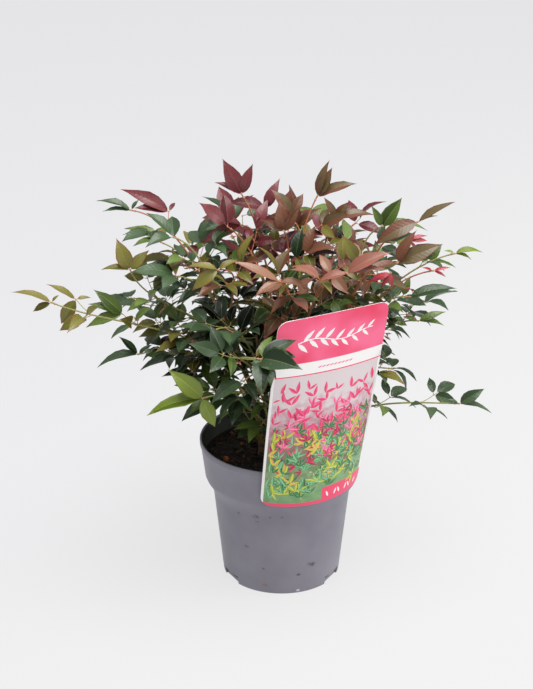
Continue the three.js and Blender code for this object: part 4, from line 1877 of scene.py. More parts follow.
@dataclass(frozen=True)
class TwigForm:
    """Sizes of the twigs, in millimetres, slimmer than the solids' ones."""

    stem_base: float = 1.15
    stem_tip: float = 0.72
    stem_steps: int = 22
    stem_sides: int = 7
    stem_swell: float = 1.1
    stem_fade: float = 4
    stalk_base: float = 0.5
    stalk_tip: float = 0.36
    stalk_sides: int = 5
    stalk_steps: int = 4
    sag: float = 0.05
    leaf_stalk: float = 0.8
    leaf_stalk_sides: int = 4
    knuckle: float = 1.0
    knuckle_length: float = 2.2
    knuckle_steps: int = 5
    knuckle_sides: int = 6
    knuckle_end: float = 0.08
    hub_knuckle: float = 0.72
    root_knuckle: float = 1.15
    look_back: float = 0.98
    bud_turns: Place = (-30, 26, 4)
    bud_stir: float = 18
    bud_tilt: float = 40
    bud_length: Span = (5, 9)
    bud_radii: tuple[float, ...] = (0.3, 0.8, 0.9, 0.5, 0.1)
    bud_seeds: Span = (37, 11)
    search_steps: int = 121

    def stem(self, spray: Spray) -> tuple[Array, Faces]:
        """Makes a stem from within its cane to its end joint.

        Args:
            spray: The spray.

        Returns:
            The stem's points and faces.
        """
        shares = np.linspace(0, 1, self.stem_steps)
        radii = mix(self.stem_base, self.stem_tip, shares)
        radii *= 1 + self.stem_swell * np.exp(-shares * spray.curve.length / self.stem_fade)
        return tube(spray.curve.at(shares), radii, self.stem_sides)

    def stalk(self, start: Array, end: Array) -> tuple[Array, Faces]:
        """Makes a stalk that sags a little between its ends.

        Args:
            start: Where it starts.
            end: Where it ends.

        Returns:
            Its points and faces.
        """
        shares = np.linspace(0, 1, self.stalk_steps)
        path = mix(start, end, shares[:, None])
        path -= UP * (self.sag * np.linalg.norm(end - start) * np.sin(shares * math.pi))[:, None]
        return tube(path, mix(self.stalk_base, self.stalk_tip, shares), self.stalk_sides)

    def joint(self, place: Array, line: Array, size: float) -> tuple[Array, Faces]:
        """Makes the swollen knuckle where twigs part.

        Args:
            place: Its middle.
            line: The twig's direction.
            size: Its radius, as a share of the largest knuckle's.

        Returns:
            Its points and faces.
        """
        shares = np.linspace(-1, 1, self.knuckle_steps)
        path = place + line * (shares * self.knuckle_length / 2)[:, None]
        radii = self.knuckle * size * np.sqrt(np.maximum(self.knuckle_end, 1 - shares**2))
        return tube(path, radii, self.knuckle_sides)

    def leaf_work(self, leaf: Leaflet) -> tuple[Array, Faces]:
        """Makes a leaflet's own short stalk.

        Args:
            leaf: The leaflet.

        Returns:
            The stalk's points and faces.
        """
        path = np.array([leaf.root, leaf.blade.root + leaf.blade.line * self.leaf_stalk])
        return tube(path, [self.stalk_tip, self.stalk_tip * self.leaf_stalk],
                    self.leaf_stalk_sides)

    def shoot(self, batch: Batch, start: Array, end: Array) -> None:
        """Adds a tiny ruddy shoot with its two or three unopened leaves.

        Args:
            batch: The mesh in the making.
            start: Where the shoot starts.
            end: Where its leaves start.
        """
        east, high = self.bud_seeds
        random = Lehmer(1 + int(abs(end[0] * east + end[2] * high)))
        batch.add(*self.stalk(start, end), 0)
        line = unit(end - start)
        side = unit(np.cross(line, UP))
        for turn in self.bud_turns[:2 + int(random() * 2)]:
            out = turned(line, np.cross(side, line), turn + random.swing(self.bud_stir))
            out = turned(out, side, random.swing(self.bud_tilt))
            shares = np.linspace(0, 1, len(self.bud_radii))
            path = end + out * (shares * random.between(*self.bud_length))[:, None]
            batch.add(*tube(path, self.bud_radii, self.stalk_sides), 1)

    def nearest(self, curve: Bezier, place: Array) -> Array:
        """Finds the point of a curve that is nearest to a place."""
        points = curve.at(np.linspace(0, 1, self.search_steps))
        return points[np.linalg.norm(points - place, axis=1).argmin()]


# How the leaflets of a spray share out its neighbours' tints.
TINT_MIX = {
    DARK: ((DARK, 0.72), (GREEN, 0.18), (OLIVE, 0.1)),
    GREEN: ((GREEN, 0.45), (DARK, 0.33), (OLIVE, 0.22)),
    LIME: ((LIME, 1.0),),
    OLIVE: ((OLIVE, 0.55), (GREEN, 0.25), (BRONZE, 0.2)),
    BRONZE: ((BRONZE, 0.5), (BURGUNDY, 0.16), (DARK, 0.2), (OLIVE, 0.14)),
    BURGUNDY: ((BURGUNDY, 0.7), (BRONZE, 0.12), (DARK, 0.18)),
    SALMON: ((SALMON, 0.42), (OLIVE, 0.28), (BRONZE, 0.12), (GREEN, 0.18)),
    SCARLET: ((SCARLET, 0.85), (GREEN, 0.15)),
}

# Sprigs that turn another colour than their spray, by number.
ACCENTS = {
    "far_left": {0: OLIVE, 1: OLIVE, 2: OLIVE, 4: GREEN}, "left_fork": {0: OLIVE, 1: GREEN},
    "upper_left_red": {0: DARK, 1: DARK, 2: BURGUNDY, 3: OLIVE, 4: DARK},
    "lime_trio": {1: DARK, 2: GREEN}, "front_grey": {2: DARK},
    "top_red": {1: BURGUNDY, 2: BURGUNDY}, "top_right": {1: BRONZE}, "right_green": {0: GREEN},
    "far_bronze": {1: SCARLET, 3: BRONZE}, "young_red": {2: SCARLET},
    "right_olive": {0: BRONZE, 1: SCARLET}, "right_tip": {0: LIME, 1: GREEN},
    "front_salmon_right": {1: OLIVE}, "right_long": {0: DARK, 1: DARK, 2: DARK},
}

# Sprigs at the crown's rim whose leaves turn to the front.
FORWARD = {
    "far_left": (1, 3), "left_fork": (1, 2), "left_low": (1,), "top_round": (1,),
    "top_right": (1, 2), "crown_red": (0,), "front_grey": (0, 2), "right_olive": (2,),
    "right_pale": (1,), "right_long": (0, 1),
}
FRONT = (268, 28)


@dataclass(frozen=True)
class Aim:
    """How one leaflet at the crown's rim reaches out, and how far it turns to the front."""

    azimuth: float
    pitch: float
    length: float
    front: float
    width: float = 0.74
    gap: float = 1.5

    def settle(self, leaf: Leaflet) -> Leaflet:
        """Aims a leaflet.

        Args:
            leaf: The leaflet.

        Returns:
            Its blade, after a short stalk.
        """
        line = heading(self.azimuth, self.pitch)
        light = mix(UP, heading(*FRONT), self.front)
        return Leaflet(leaf.root + line * self.gap, line, square_to(light, line),
                       self.length, leaf.tint, width=self.width)


# Sprigs that reach out their own way: for each leaflet its azimuth, pitch, length,
# turn to the front and width.
AIMS = {
    ("far_left", 0): ((180, 27, 38, 0.3, 0.55), (180, -27, 20, 0.7, 0.8), (20, 40, 9, 0.5)),
    ("far_left", 2): ((180, 31, 31, 0.35, 0.62), (184, -62, 30, 0.95, 1.0), (10, 10, 13, 0.5)),
    ("far_left", 4): ((184, -13, 38, 0.7), (180, 48, 36, 0.85), (180, 24, 34, 0.5, 0.65)),
    ("left_fork", 0): ((182, 8, 27, 0.4, 0.65), (184, 66, 31, 1.0, 1.05), (4, 46, 25, 0.9, 0.9)),
    ("left_low", 0): ((186, -6, 42, 0.3, 0.6), (180, 46, 26, 0.5), (20, 36, 16, 0.5)),
    ("upper_left_red", 0): ((180, 22, 34, 0.3, 0.6), (186, 2, 27, 0.3, 0.6), (30, 50, 12, 0.6)),
    ("upper_left_red", 2): ((181, 31, 50, 0.7, 0.6), (187, 10, 34, 0.6, 0.6), (60, 30, 14, 0.5)),
    ("lime_trio", 0): ((186, 48, 43, 0.9, 0.92), (188, -9, 55, 0.4, 0.6),
                       (330, -66, 30, 0.9, 1.0)),
    ("amber", 0): ((192, -30, 31, 0.9, 1.0), (182, 14, 28, 0.3), (20, 30, 20, 0.5)),
    ("front_salmon", 0): ((183, 24, 48, 0.5, 0.5), (354, -6, 32, 0.4, 0.6),
                          (215, -8, 28, 0.4, 0.6)),
    ("top_red", 0): ((180, 62, 38, 1.0, 0.85), (2, 74, 31, 1.0, 0.85), (180, 30, 27, 0.5)),
    ("top_red", 1): ((187, -22, 44, 0.7), (180, 14, 38, 0.3), (2, -60, 26, 0.8)),
    ("top_red", 2): ((180, 16, 38, 0.6), (2, 70, 30, 1.0, 0.9), (240, -20, 20, 0.4)),
    ("top_bronze", 0): ((180, 78, 42, 0.4, 0.5), (0, 44, 28, 0.7), (184, 20, 26, 0.5)),
    ("top_round", 0): ((182, 80, 28, 1.0, 1.1), (2, 62, 28, 1.0), (180, 32, 24, 0.9)),
    ("top_right", 0): ((2, 63, 31, 1.0, 0.85), (0, 77, 37, 0.3, 0.6), (358, 20, 40, 0.5, 0.6)),
    ("top_right_low", 0): ((0, 18, 36, 0.5), (0, 62, 19, 0.8, 1.0), (180, 60, 24, 0.7)),
    ("right_green", 0): ((2, 57, 34, 0.9, 0.85), (180, 64, 23, 0.8), (358, 13, 42, 0.2, 0.6)),
    ("far_bronze", 0): ((0, 31, 40, 0.4, 0.5), (0, 16, 19, 0.1, 0.5), (192, -19, 46, 0.7, 0.85)),
    ("far_bronze", 1): ((0, 0, 17, 0.9, 0.6), (0, 24, 17, 0.6, 0.6), (0, -48, 12, 0.9, 0.6)),
    ("right_olive", 0): ((2, 22, 45, 0.85, 0.8), (4, 68, 34, 0.5, 0.65), (205, -8, 34, 0.3)),
    ("right_olive", 1): ((188, -20, 23, 0.8, 0.62), (184, -60, 17, 0.9, 0.62),
                         (300, -78, 14, 0.9, 0.62)),
    ("right_tip", 0): ((2, 17, 26, 0.4, 0.6), (356, -12, 17, 0.3, 0.6), (170, 22, 9, 0.5)),
    ("right_tip", 1): ((4, 52, 20, 1.0, 0.9), (0, -4, 27, 0.2, 0.6), (184, 22, 22, 0.5)),
    ("right_tip", 4): ((0, -22, 25, 1.0, 0.9), (4, 70, 20, 0.9)),
    ("young_red", 0): ((0, 14, 16, 0.8, 0.5), (2, -20, 14, 0.8, 0.5), (186, 20, 10, 0.7, 0.6)),
    ("front_salmon_right", 0): ((0, 32, 44, 0.6, 0.65), (356, 10, 36, 0.4, 0.6),
                                (188, -12, 26, 0.5)),
    ("right_dark", 0): ((358, 14, 46, 0.5, 0.6),),
    ("right_long", 0): ((358, -3, 33, 0.3, 0.52), (2, 36, 28, 0.95, 0.9), (184, 24, 12, 0.5)),
    ("right_pale", 0): ((0, 22, 28, 0.6, 0.7), (356, 2, 25, 0.4, 0.6), (180, 16, 15, 0.6)),
}


def deal_tint(spray: str, leaf: Leaflet, chance: float) -> Tint:
    """Deals a leaflet its tint.

    Args:
        spray: Name of its spray.
        leaf: The leaflet, still in its spray's tint.
        chance: A number between 0 and 1.

    Returns:
        Its accent where its sprig has one, the spray's own tint in the end
        sprig, and otherwise a tint from the spray's mix.
    """
    accents = ACCENTS.get(spray, {})
    if leaf.sprig in accents:
        return accents[leaf.sprig]
    if leaf.sprig == 0:
        return leaf.tint
    for dealt, share in TINT_MIX[leaf.tint]:
        chance -= share
        if chance < 0:
            return dealt
    return leaf.tint


@dataclass
class Foliage:
    """All leaves and twigs, joined by tint."""

    crown: Crown
    form: LeafForm = LeafForm()
    twigs: TwigForm = TwigForm()
    habit: Habit = Habit()
    # the share of a blade's shade that its depth in the crown sets: painted shade
    painted_shade_share: float = 0.6
    core_fade: float = 2.1
    # how far the blade's other half may stray in shade: painted light across the fold
    fold_shade_spread: float = 1.2
    crease: float = 50
    twig_crease: float = 70
    seed: int = 77

    def build(self) -> list[bpy.types.Object]:
        """Builds the leaves and twigs of every tint.

        Returns:
            The pieces.
        """
        pieces = []
        owners = {tint: [f"foliage_{spray.row.name}" for spray in self.crown.sprays
                         if spray.row.tint is tint] for tint in Tint}
        sprays = [*self.crown.sprays, *self.crown.shoots]
        random = Lehmer(self.seed)
        for spray in sprays:
            for leaf in spray.leaflets:
                leaf.tint = deal_tint(spray.row.name, leaf, random())
                calm = leaf.sprig in FORWARD.get(spray.row.name, ())
                leaf.blade = self.habit.settle(leaf, calm, random)
            self.aim(spray)
        for tint in Tint:
            blades = [leaf.blade for spray in sprays for leaf in spray.leaflets
                      if leaf.tint is tint]
            pieces.append(dress(self.leaves(tint, blades), tint.value, *owners[tint]))
        for tone in (TwigTone.OLIVE, TwigTone.LIME, TwigTone.RUDDY):
            nodes = [node for tint in Tint if TWIG_TONES[tint] is tone for node in owners[tint]]
            pieces.append(dress(self.twig_work(tone, sprays), "cane_bark", *nodes))
        return pieces

    @staticmethod
    def aim(spray: Spray) -> None:
        """Settles the leaflets of the sprigs that reach out their own way.

        Args:
            spray: The spray that may have such sprigs.
        """
        for (name, sprig), rows in AIMS.items():
            if name == spray.row.name:
                chosen = [leaf for leaf in spray.leaflets if leaf.sprig == sprig]
                while len(chosen) < len(rows):
                    chosen.append(replace(chosen[0]))
                    spray.leaflets.append(chosen[-1])
                for leaf, row in zip(chosen, rows):
                    leaf.blade = Aim(*row).settle(leaf)

    def outness(self, leaf: Leaflet) -> float:
        """Returns how far out a leaflet is, from 0 deep in the crown to 1 at its skin, which sets
        its painted shade.
        """
        middle = leaf.root + leaf.line * leaf.length / 2
        return 1 - clamp(FINER.depth(middle) * self.core_fade, 0, 1)

    def leaves(self, tint: Tint, leaves: list[Leaflet]) -> bpy.types.Object:
        """Joins all leaflets of one tint, with their shades dealt partly by depth, as painted
        shade, and partly by chance.

        Args:
            tint: The tint.
            leaves: Its leaflets.

        Returns:
            The piece.
        """
        finish = LEAF_FINISHES[tint]
        random = Lehmer(self.seed + list(Tint).index(tint))
        batch, faces = Batch(), self.form.faces()
        blades, margins = len(finish.blades), len(finish.margins)
        for leaf in leaves:
            points, places = self.form.shape(leaf, random)
            # Painted shade: leaflets deeper in the crown get darker blades.
            shade = self.painted_shade_share * self.outness(leaf) + (1 - self.painted_shade_share) * random()
            blade = min(int(shade * blades), blades - 1)
            # The other half takes a nearby shade at random: painted light across the fold.
            other = blade + random.between(-self.fold_shade_spread, self.fold_shade_spread) + 0.5
            margin = blades + int(random() * margins)
            kinds = self.form.kinds(blade, int(clamp(other, 0, blades - 1)), margin,
                                    blades + margins, blades + margins + 1)
            batch.add(points, faces, kinds, places)
        return batch.write(f"leaves_{tint.name.lower()}", finish.make(), self.crease)

    def twig_work(self, tone: TwigTone, sprays: list[Spray]) -> bpy.types.Object:
        """Joins the stems, stalks and joints of one tone.

        Args:
            tone: The tone.
            sprays: All sprays and shoots.

        Returns:
            The piece.
        """
        batch, twigs = Batch(), self.twigs
        for spray in sprays:
            curve = spray.curve
            if spray.blocks and TWIG_TONES[spray.row.tint] is tone:
                end = curve.at(1.0)
                batch.add(*twigs.stem(spray), 0)
                batch.add(*twigs.joint(end, unit(end - curve.at(twigs.look_back)), 1), 1)
            for stalk in spray.sprigs:
                if TWIG_TONES[stalk.tint] is tone:
                    start = twigs.nearest(curve, stalk.start)
                    line = unit(stalk.end - start)
                    batch.add(*twigs.stalk(start, stalk.end), 0)
                    batch.add(*twigs.joint(stalk.end, line, twigs.hub_knuckle), 1)
                    batch.add(*twigs.joint(start, line, twigs.root_knuckle), 1)
            for shoot in spray.sprouts if tone is TwigTone.RUDDY else ():
                twigs.shoot(batch, twigs.nearest(curve, shoot.start), shoot.end)
            for leaf in spray.leaflets:
                if TWIG_TONES[leaf.tint] is tone:
                    batch.add(*twigs.leaf_work(leaf), 0)
        finishes = [tone.value.make(), TwigTone.JOINT.value.make()]
        return batch.write(f"twigs_{tone.name.lower()}", finishes, self.twig_crease)


@dataclass
class Canes:
    """The seven canes, with rings of old leaf scars and furrowed bark."""

    canes: list[Cane]
    sides: int = 14
    steps: int = 90
    ring_every: float = 17
    ring_shift: float = 5
    ring_width: float = 1.6
    ring_height: float = 0.55
    furrow: float = 0.16
    furrows: int = 5
    swells: int = 3
    wander: float = 0.35
    crease: float = 60

    def build(self) -> bpy.types.Object:
        """Builds all canes as one piece.

        Returns:
            The piece.
        """
        batch = Batch()
        for number, cane in enumerate(self.canes):
            batch.add(*self.cane(cane, number))
        piece = batch.write("canes", [BARK.make()], self.crease)
        return dress(piece, "cane_bark", *(cane.row.name for cane in self.canes))

    def cane(self, cane: Cane, number: int) -> tuple[Array, Faces]:
        """Makes one cane whose radius swells at each ring and dips in furrows.

        Args:
            cane: The grown cane.
            number: Its number, which shifts its rings and furrows.

        Returns:
            Its points and faces.
        """
        shares = np.linspace(0, 1, self.steps)
        smooth = np.array([CANE.radius(share) for share in shares])
        length = cane.curve.length * shares
        past = (length + number * self.ring_shift) % self.ring_every
        ring = np.exp(-((past / self.ring_width) ** 2)) * self.ring_height
        around = np.arange(self.sides) * 2 * math.pi / self.sides
        ripple = np.sin(around * self.furrows + number) * np.cos(length[:, None] * self.wander)
        ripple += np.sin(around * self.swells - number)
        radii = smooth[:, None] + ring[:, None] + ripple * self.furrow
        return tube(cane.curve.at(shares), radii, self.sides)


# ---- Pot, soil and card ---------------------------------------------------
@dataclass
class NurseryPot:
    """The moulded pot: a spun wall with collar, shoulder and rounded rim."""

    sizes: PotSizes = POT
    steps: int = 160
    lip: float = 3
    floor_share: float = 0.9
    crease: float = 32
    finish: PotFinish = PotFinish()

    def outline(self) -> list[Span]:
        """Lists the wall's outline from the middle of the foot, up, and back down inside.

        The small steps from each named size round the moulded edges.

        Returns:
            Radius and height of each point, in millimetres.
        """
        s = self.sizes
        inner = s.rim - s.wall
        return [
            (0, 0.6), (s.foot - 6, 0.6), (s.foot - 5, 0), (s.foot - s.chamfer, 0),
            (s.foot - 0.4, 0.4), (s.foot, s.chamfer), (s.body - 0.3, s.body_z - 3),
            (s.body + 0.1, s.body_z), (s.body + s.shoulder_out, s.body_z + s.shoulder_up),
            (s.collar_foot - s.shoulder_in, s.collar_z - s.shoulder_down),
            (s.collar_foot - 0.5, s.collar_z - 1.4), (s.collar_foot, s.collar_z),
            (s.collar_foot + 0.15, s.collar_z + 2), (s.rim - 1.1, s.height - 7),
            (s.rim - 0.1, s.height - 5.6), (s.rim, s.height - 1.2), (s.rim - 0.4, s.height - 0.3),
            (s.rim - 1.1, s.height), (inner, s.height - 0.4), (inner - 0.3, s.height - 2),
            (s.collar_foot - s.wall, s.collar_z), (s.body - s.wall, s.body_z),
            (s.foot - s.wall - 1, s.floor + 2), (s.foot - s.wall - 3, s.floor), (0, s.floor),
        ]

    def build(self) -> bpy.types.Object:
        """Spins the wall and cuts the notches of the foot.

        Returns:
            The piece.
        """
        work = bmesh.new()
        points = [work.verts.new((r * MM, 0, z * MM)) for r, z in self.outline()]
        edges = [work.edges.new(pair) for pair in zip(points, points[1:])]
        bmesh.ops.spin(work, geom=[*points, *edges], cent=(0, 0, 0), axis=(0, 0, 1),
                       angle=math.tau, steps=self.steps, use_merge=True)
        bmesh.ops.remove_doubles(work, verts=work.verts, dist=MERGE)
        bmesh.ops.recalc_face_normals(work, faces=work.faces)
        # Faces inside the wall below the lip take the inner plastic, darkened by soil stain and
        # painted shade.
        for face in work.faces:
            middle = face.calc_center_median()
            inward = face.normal.x * middle.x + face.normal.y * middle.y < 0
            lip = middle.z > (self.sizes.height - self.lip) * MM
            raised = middle.z > self.sizes.floor * MM * self.floor_share
            face.material_index = int(raised and inward and not lip)
        mesh = to_mesh(work, "pot_wall", (self.finish.make(), self.finish.make_inside()))
        piece = place_piece(mesh, self.crease)
        self.cut_notches(piece)
        return dress(piece, "pot_plastic", "pot")

    def cut_notches(self, piece: bpy.types.Object) -> None:
        """Cuts the foot's notches with blocks that are then removed.

        Args:
            piece: The wall.
        """
        s = self.sizes
        work = bmesh.new()
        for i in range(s.notches):
            verts = bmesh.ops.create_cube(work, size=1)["verts"]
            size = Vector((s.notch_depth * 4, s.notch_width, s.notch_height * 2)) * MM
            bmesh.ops.scale(work, vec=size, verts=verts)
            bmesh.ops.translate(work, vec=((s.foot + s.notch_depth) * MM, 0, 0), verts=verts)
            angle = math.radians(s.first_notch + i * 360 / s.notches)
            bmesh.ops.rotate(work, cent=(0, 0, 0), verts=verts,
                             matrix=Matrix.Rotation(angle, 3, "Z"))
        cutter = add_object("notch_cutter", to_mesh(work, "notch_cutter"))
        cut = piece.modifiers.new("notches", "BOOLEAN")
        cut.operation, cut.object, cut.solver = "DIFFERENCE", cutter, "EXACT"
        bpy.context.view_layer.update()
        shaped = piece.evaluated_get(bpy.context.evaluated_depsgraph_get())
        finished = bpy.data.meshes.new_from_object(shaped)
        piece.modifiers.clear()
        piece.data = finished
        bpy.data.objects.remove(cutter)


@dataclass
class PottingSoil:
    """Damp potting mix: a lumpy bed with crumbs, fibres and feed pellets on it."""

    top: float = POT.soil_top
    gap: float = 0.4
    lumps: tuple[Place, ...] = ((3, 14, 2.2), (9, 4, 1.4))  # layer of the noise, size, height
    sink: float = 0.4
    edge: float = 10
    edge_share: float = 0.35
    rings: int = 34
    sides: int = 110
    lining: float = 2
    margin: float = 4
    crease: float = 80
    crumbs: int = 420
    crumb_size: Span = (0.9, 3.0)
    crumb_shape: tuple[Span, ...] = ((0.7, 1.6), (0.6, 1.2), (0.4, 0.8))
    crumb_dents: Place = (0.25, 7, 6)  # depth, fineness and how far they wander
    crumb_lift: float = 0.25
    crumb_kinds: float = 2.3
    fibres: int = 130
    fibre_pitch: Span = (-4, 12)
    fibre_length: Span = (6, 16)
    fibre_margin: float = 3
    fibre_stir: float = 6
    fibre_bow: Span = (0.5, 3)
    fibre_lift: float = 0.6
    fibre_pulls: Span = (0.3, 0.7)
    fibre_radii: Span = (0.3, 0.16)
    fibre_steps: int = 7
    pellets: int = 9
    pellet_size: Span = (1.4, 2.1)
    pellet_lift: float = 1.6
    near_pellet: Place = (-57.5, -18, 3.2)
    near_lift: float = 0.8
    seed: int = 31

    def radius(self) -> float:
        """Returns the pot's inner radius at the soil's height."""
        share = (self.top - POT.collar_z) / (POT.height - POT.collar_z)
        return mix(POT.collar_foot, POT.rim, share) - POT.wall - self.gap

    def level(self, x: float, y: float) -> float:
        """Works out the bed's height at a place.

        Args:
            x: The place from left to right, in millimetres.
            y: The place from front to back, in millimetres.

        Returns:
            The height, in millimetres.
        """
        rough = sum(noise.noise(Vector((x, y, layer)) / size) * height
                    for layer, size, height in self.lumps)
        inside = clamp((self.radius() - math.hypot(x, y)) / self.edge, 0, 1)
        return self.top + rough * mix(self.edge_share, 1, inside) - self.sink

    def bed(self) -> bpy.types.Object:
        """Builds the bed: a lumpy top over a plain plug.

        Returns:
            The piece.
        """
        sides, reach = self.sides, self.radius()
        circles = [(reach * ring / self.rings, None) for ring in range(1, self.rings + 1)]
        circles += [(radius - POT.wall - self.lining, height) for radius, height in (
            (POT.collar_foot, POT.collar_z), (POT.body, POT.body_z), (POT.foot, POT.floor + 1))]
        points = [(0, 0, self.level(0, 0))]
        for radius, height in circles:
            for angle in np.arange(sides) * math.tau / sides:
                x, y = radius * math.cos(angle), radius * math.sin(angle)
                points.append((x, y, self.level(x, y) if height is None else height))
        around = [(i, (i + 1) % sides) for i in range(sides)]
        faces: Faces = [(0, 1 + i, 1 + j) for i, j in around]
        for first in range(1, 1 + (len(circles) - 1) * sides, sides):
            faces += [(first + i, first + sides + i, first + sides + j, first + j)
                      for i, j in around]
        faces.append(tuple(reversed(range(len(points) - sides, len(points)))))
        batch = Batch()
        batch.add(np.array(points), faces)
        soil = MatterFinish("potting_soil", "241913", "080504")
        return batch.write("soil_bed", [soil.make()], self.crease)

    def scatter(self, count: int, random: Lehmer) -> Iterable[Array]:
        """Deals places over the bed.

        Args:
            count: How many.
            random: Source of chance.

        Yields:
            The places.
        """
        for _ in range(count):
            angle, reach = random() * 360, math.sqrt(random()) * (self.radius() - self.margin)
            x, y, _ = polar(angle, reach, 0)
            yield np.array([x, y, self.level(x, y)])

    @staticmethod
    def ball(work: bmesh.types.BMesh) -> tuple[Array, Faces]:
        """Reads a ball off mesh work.

        Args:
            work: The work, which is freed.

        Returns:
            The ball's points and faces.
        """
        points = np.array([list(vert.co) for vert in work.verts])
        faces = [tuple(vert.index for vert in face.verts) for face in work.faces]
        work.free()
        return points, faces

    def crumb_work(self, random: Lehmer) -> bpy.types.Object:
        """Joins the crumbs: lumps of bark and peat, each pressed and turned its own way.

        Args:
            random: Source of chance.

        Returns:
            The piece.
        """
        work = bmesh.new()
        bmesh.ops.create_icosphere(work, subdivisions=1, radius=1)
        ball, faces = self.ball(work)
        batch, (dent, dents, wander) = Batch(), self.crumb_dents
        for place in self.scatter(self.crumbs, random):
            size = random.between(*self.crumb_size)
            squash = np.array([random.between(*shares) for shares in self.crumb_shape])
            lumps = ball * (1 + dent * np.sin(ball * dents + random() * wander)) * size * squash
            turn = heading(random() * 360, 0)
            points = place + lumps @ np.array([turn, leftwards(turn), UP])
            batch.add(points + UP * size * self.crumb_lift, faces,
                      int(random() * self.crumb_kinds))
        finishes = [MatterFinish(*row).make() for row in (
            ("peat_crumb", "33241B", "120C08"), ("bark_crumb", "5A3A26", "281910"),
            ("pale_crumb", "7C6048", "43301F"))]
        return batch.write("soil_crumbs", finishes, self.crease)

    def fibre_work(self, random: Lehmer) -> bpy.types.Object:
        """Joins the fibres: thin ruddy strands that lie over the crumbs.

        Args:
            random: Source of chance.

        Returns:
            The piece.
        """
        batch = Batch()
        for place in self.scatter(self.fibres, random):
            away = heading(random() * 360, random.between(*self.fibre_pitch))
            away *= random.between(*self.fibre_length)
            if math.hypot(*(place + away)[:2]) < self.radius() - self.fibre_margin:
                bow = np.array([random.swing(self.fibre_stir), random.swing(self.fibre_stir),
                                random.between(*self.fibre_bow)])
                pulls = [place + away * share + bow for share in self.fibre_pulls]
                curve = Bezier(place + UP * self.fibre_lift, *pulls, place + away + UP)
                path = curve.at(np.linspace(0, 1, self.fibre_steps))
                batch.add(*tube(path, np.linspace(*self.fibre_radii, self.fibre_steps), 4))
        fibre = MatterFinish("ruddy_fibre", "7A4630", "3A2016")
        return batch.write("soil_fibres", [fibre.make()], self.crease)

    def pellet_work(self, random: Lehmer) -> bpy.types.Object:
        """Joins the feed pellets: small amber balls.

        Args:
            random: Source of chance.

        Returns:
            The piece.
        """
        work = bmesh.new()
        bmesh.ops.create_uvsphere(work, u_segments=16, v_segments=10, radius=1)
        ball, faces = self.ball(work)
        batch = Batch()
        for place in self.scatter(self.pellets, random):
            size = random.between(*self.pellet_size)
            batch.add(place + ball * size + UP * self.pellet_lift, faces)
        x, y, size = self.near_pellet
        middle = np.array([x, y, self.level(x, y) + size * self.near_lift])
        batch.add(middle + ball * size, faces)
        pellet = MatterFinish("feed_pellet", "A85C30", "7C3C1C", 2, 0.45)
        return batch.write("feed_pellets", [pellet.make()], self.crease)

    def build(self) -> list[bpy.types.Object]:
        """Builds the bed and all that lies on it.

        Returns:
            The pieces.
        """
        random = Lehmer(self.seed)
        pieces = [self.bed(), self.crumb_work(random), self.fibre_work(random),
                  self.pellet_work(random)]
        return [dress(piece, "potting_soil", "soil") for piece in pieces]


class Ink(Enum):
    """Inks of the care card."""

    # The header's two pinks lie in broad soft clouds: painted glare from the card's bends.
    HEADER = PrintFinish("pink_red_ink_painted_glare", "FA6A94", "EE2E5C", 48)
    BAND = PrintFinish("deep_pink_ink", "F0466E")
    WHITE = PrintFinish("white_ink", "F6F3F2")
    GROUND = PictureFinish()
    BACK = PrintFinish("white_back", "EFEDEA")
    PINK = PrintFinish("bright_pink_ink", "F4578F")
    ROSE = PrintFinish("rose_ink", "E5305F")
    BLUSH = PrintFinish("blush_ink", "F79ABA")
    WINE = PrintFinish("wine_ink", "8A2A48")
    GOLD = PrintFinish("yellow_green_ink", "D2D84E")
    MOSS = PrintFinish("moss_ink", "A6B53C")
    AMBER = PrintFinish("orange_ink", "F2A55E")
    MINT = PrintFinish("mint_ink", "8CC79A")
    LEAF = PrintFinish("green_ink", "4F9A58")
    PINE = PrintFinish("dark_green_ink", "2F6440")


INKS = list(Ink)


@dataclass(frozen=True)
class Motif:
    """Printed fans of leaves that are strewn over one height of the picture."""

    name: str
    fans: int
    low: float
    high: float
    length: Span
    lean: float
    leaves: int
    spread: float
    inks: tuple[Ink, Ink]


MOTIFS = (
    Motif("pine fans", 84, 0.02, 0.44, (8, 15), 170, 3, 100, (Ink.PINE, Ink.LEAF)),
    Motif("green fans", 44, 0.02, 0.36, (9, 16), 150, 3, 90, (Ink.LEAF, Ink.MINT)),
    Motif("mint fans", 20, 0.02, 0.3, (8, 14), 130, 3, 80, (Ink.MINT, Ink.LEAF)),
    Motif("wine fans", 44, 0.18, 0.5, (7, 12), 180, 3, 110, (Ink.WINE, Ink.ROSE)),
    Motif("golden fans", 22, 0.03, 0.4, (11, 18), 170, 4, 170, (Ink.GOLD, Ink.MOSS)),
    Motif("amber fans", 12, 0.12, 0.44, (10, 16), 160, 4, 150, (Ink.AMBER, Ink.GOLD)),
    Motif("blush fans", 22, 0.24, 0.56, (9, 14), 120, 3, 100, (Ink.BLUSH, Ink.PINK)),
    Motif("pink fans", 44, 0.24, 0.6, (10, 17), 90, 2, 70, (Ink.PINK, Ink.ROSE)),
    Motif("rose fans", 20, 0.32, 0.64, (10, 17), 80, 2, 60, (Ink.ROSE, Ink.PINK)),
)


@dataclass(frozen=True)
class LeafRow:
    """A level row of small printed leaves on the card."""

    count: int
    start: float
    stop: float
    height: float
    leans: Span
    length: float
    ink: Ink


LEAF_ROWS = (LeafRow(9, -0.24, 0.36, 0.736, (70, 70), 5, Ink.PINK),
             LeafRow(6, 0.2, 0.85, 0.024, (-20, 20), 8, Ink.WHITE))


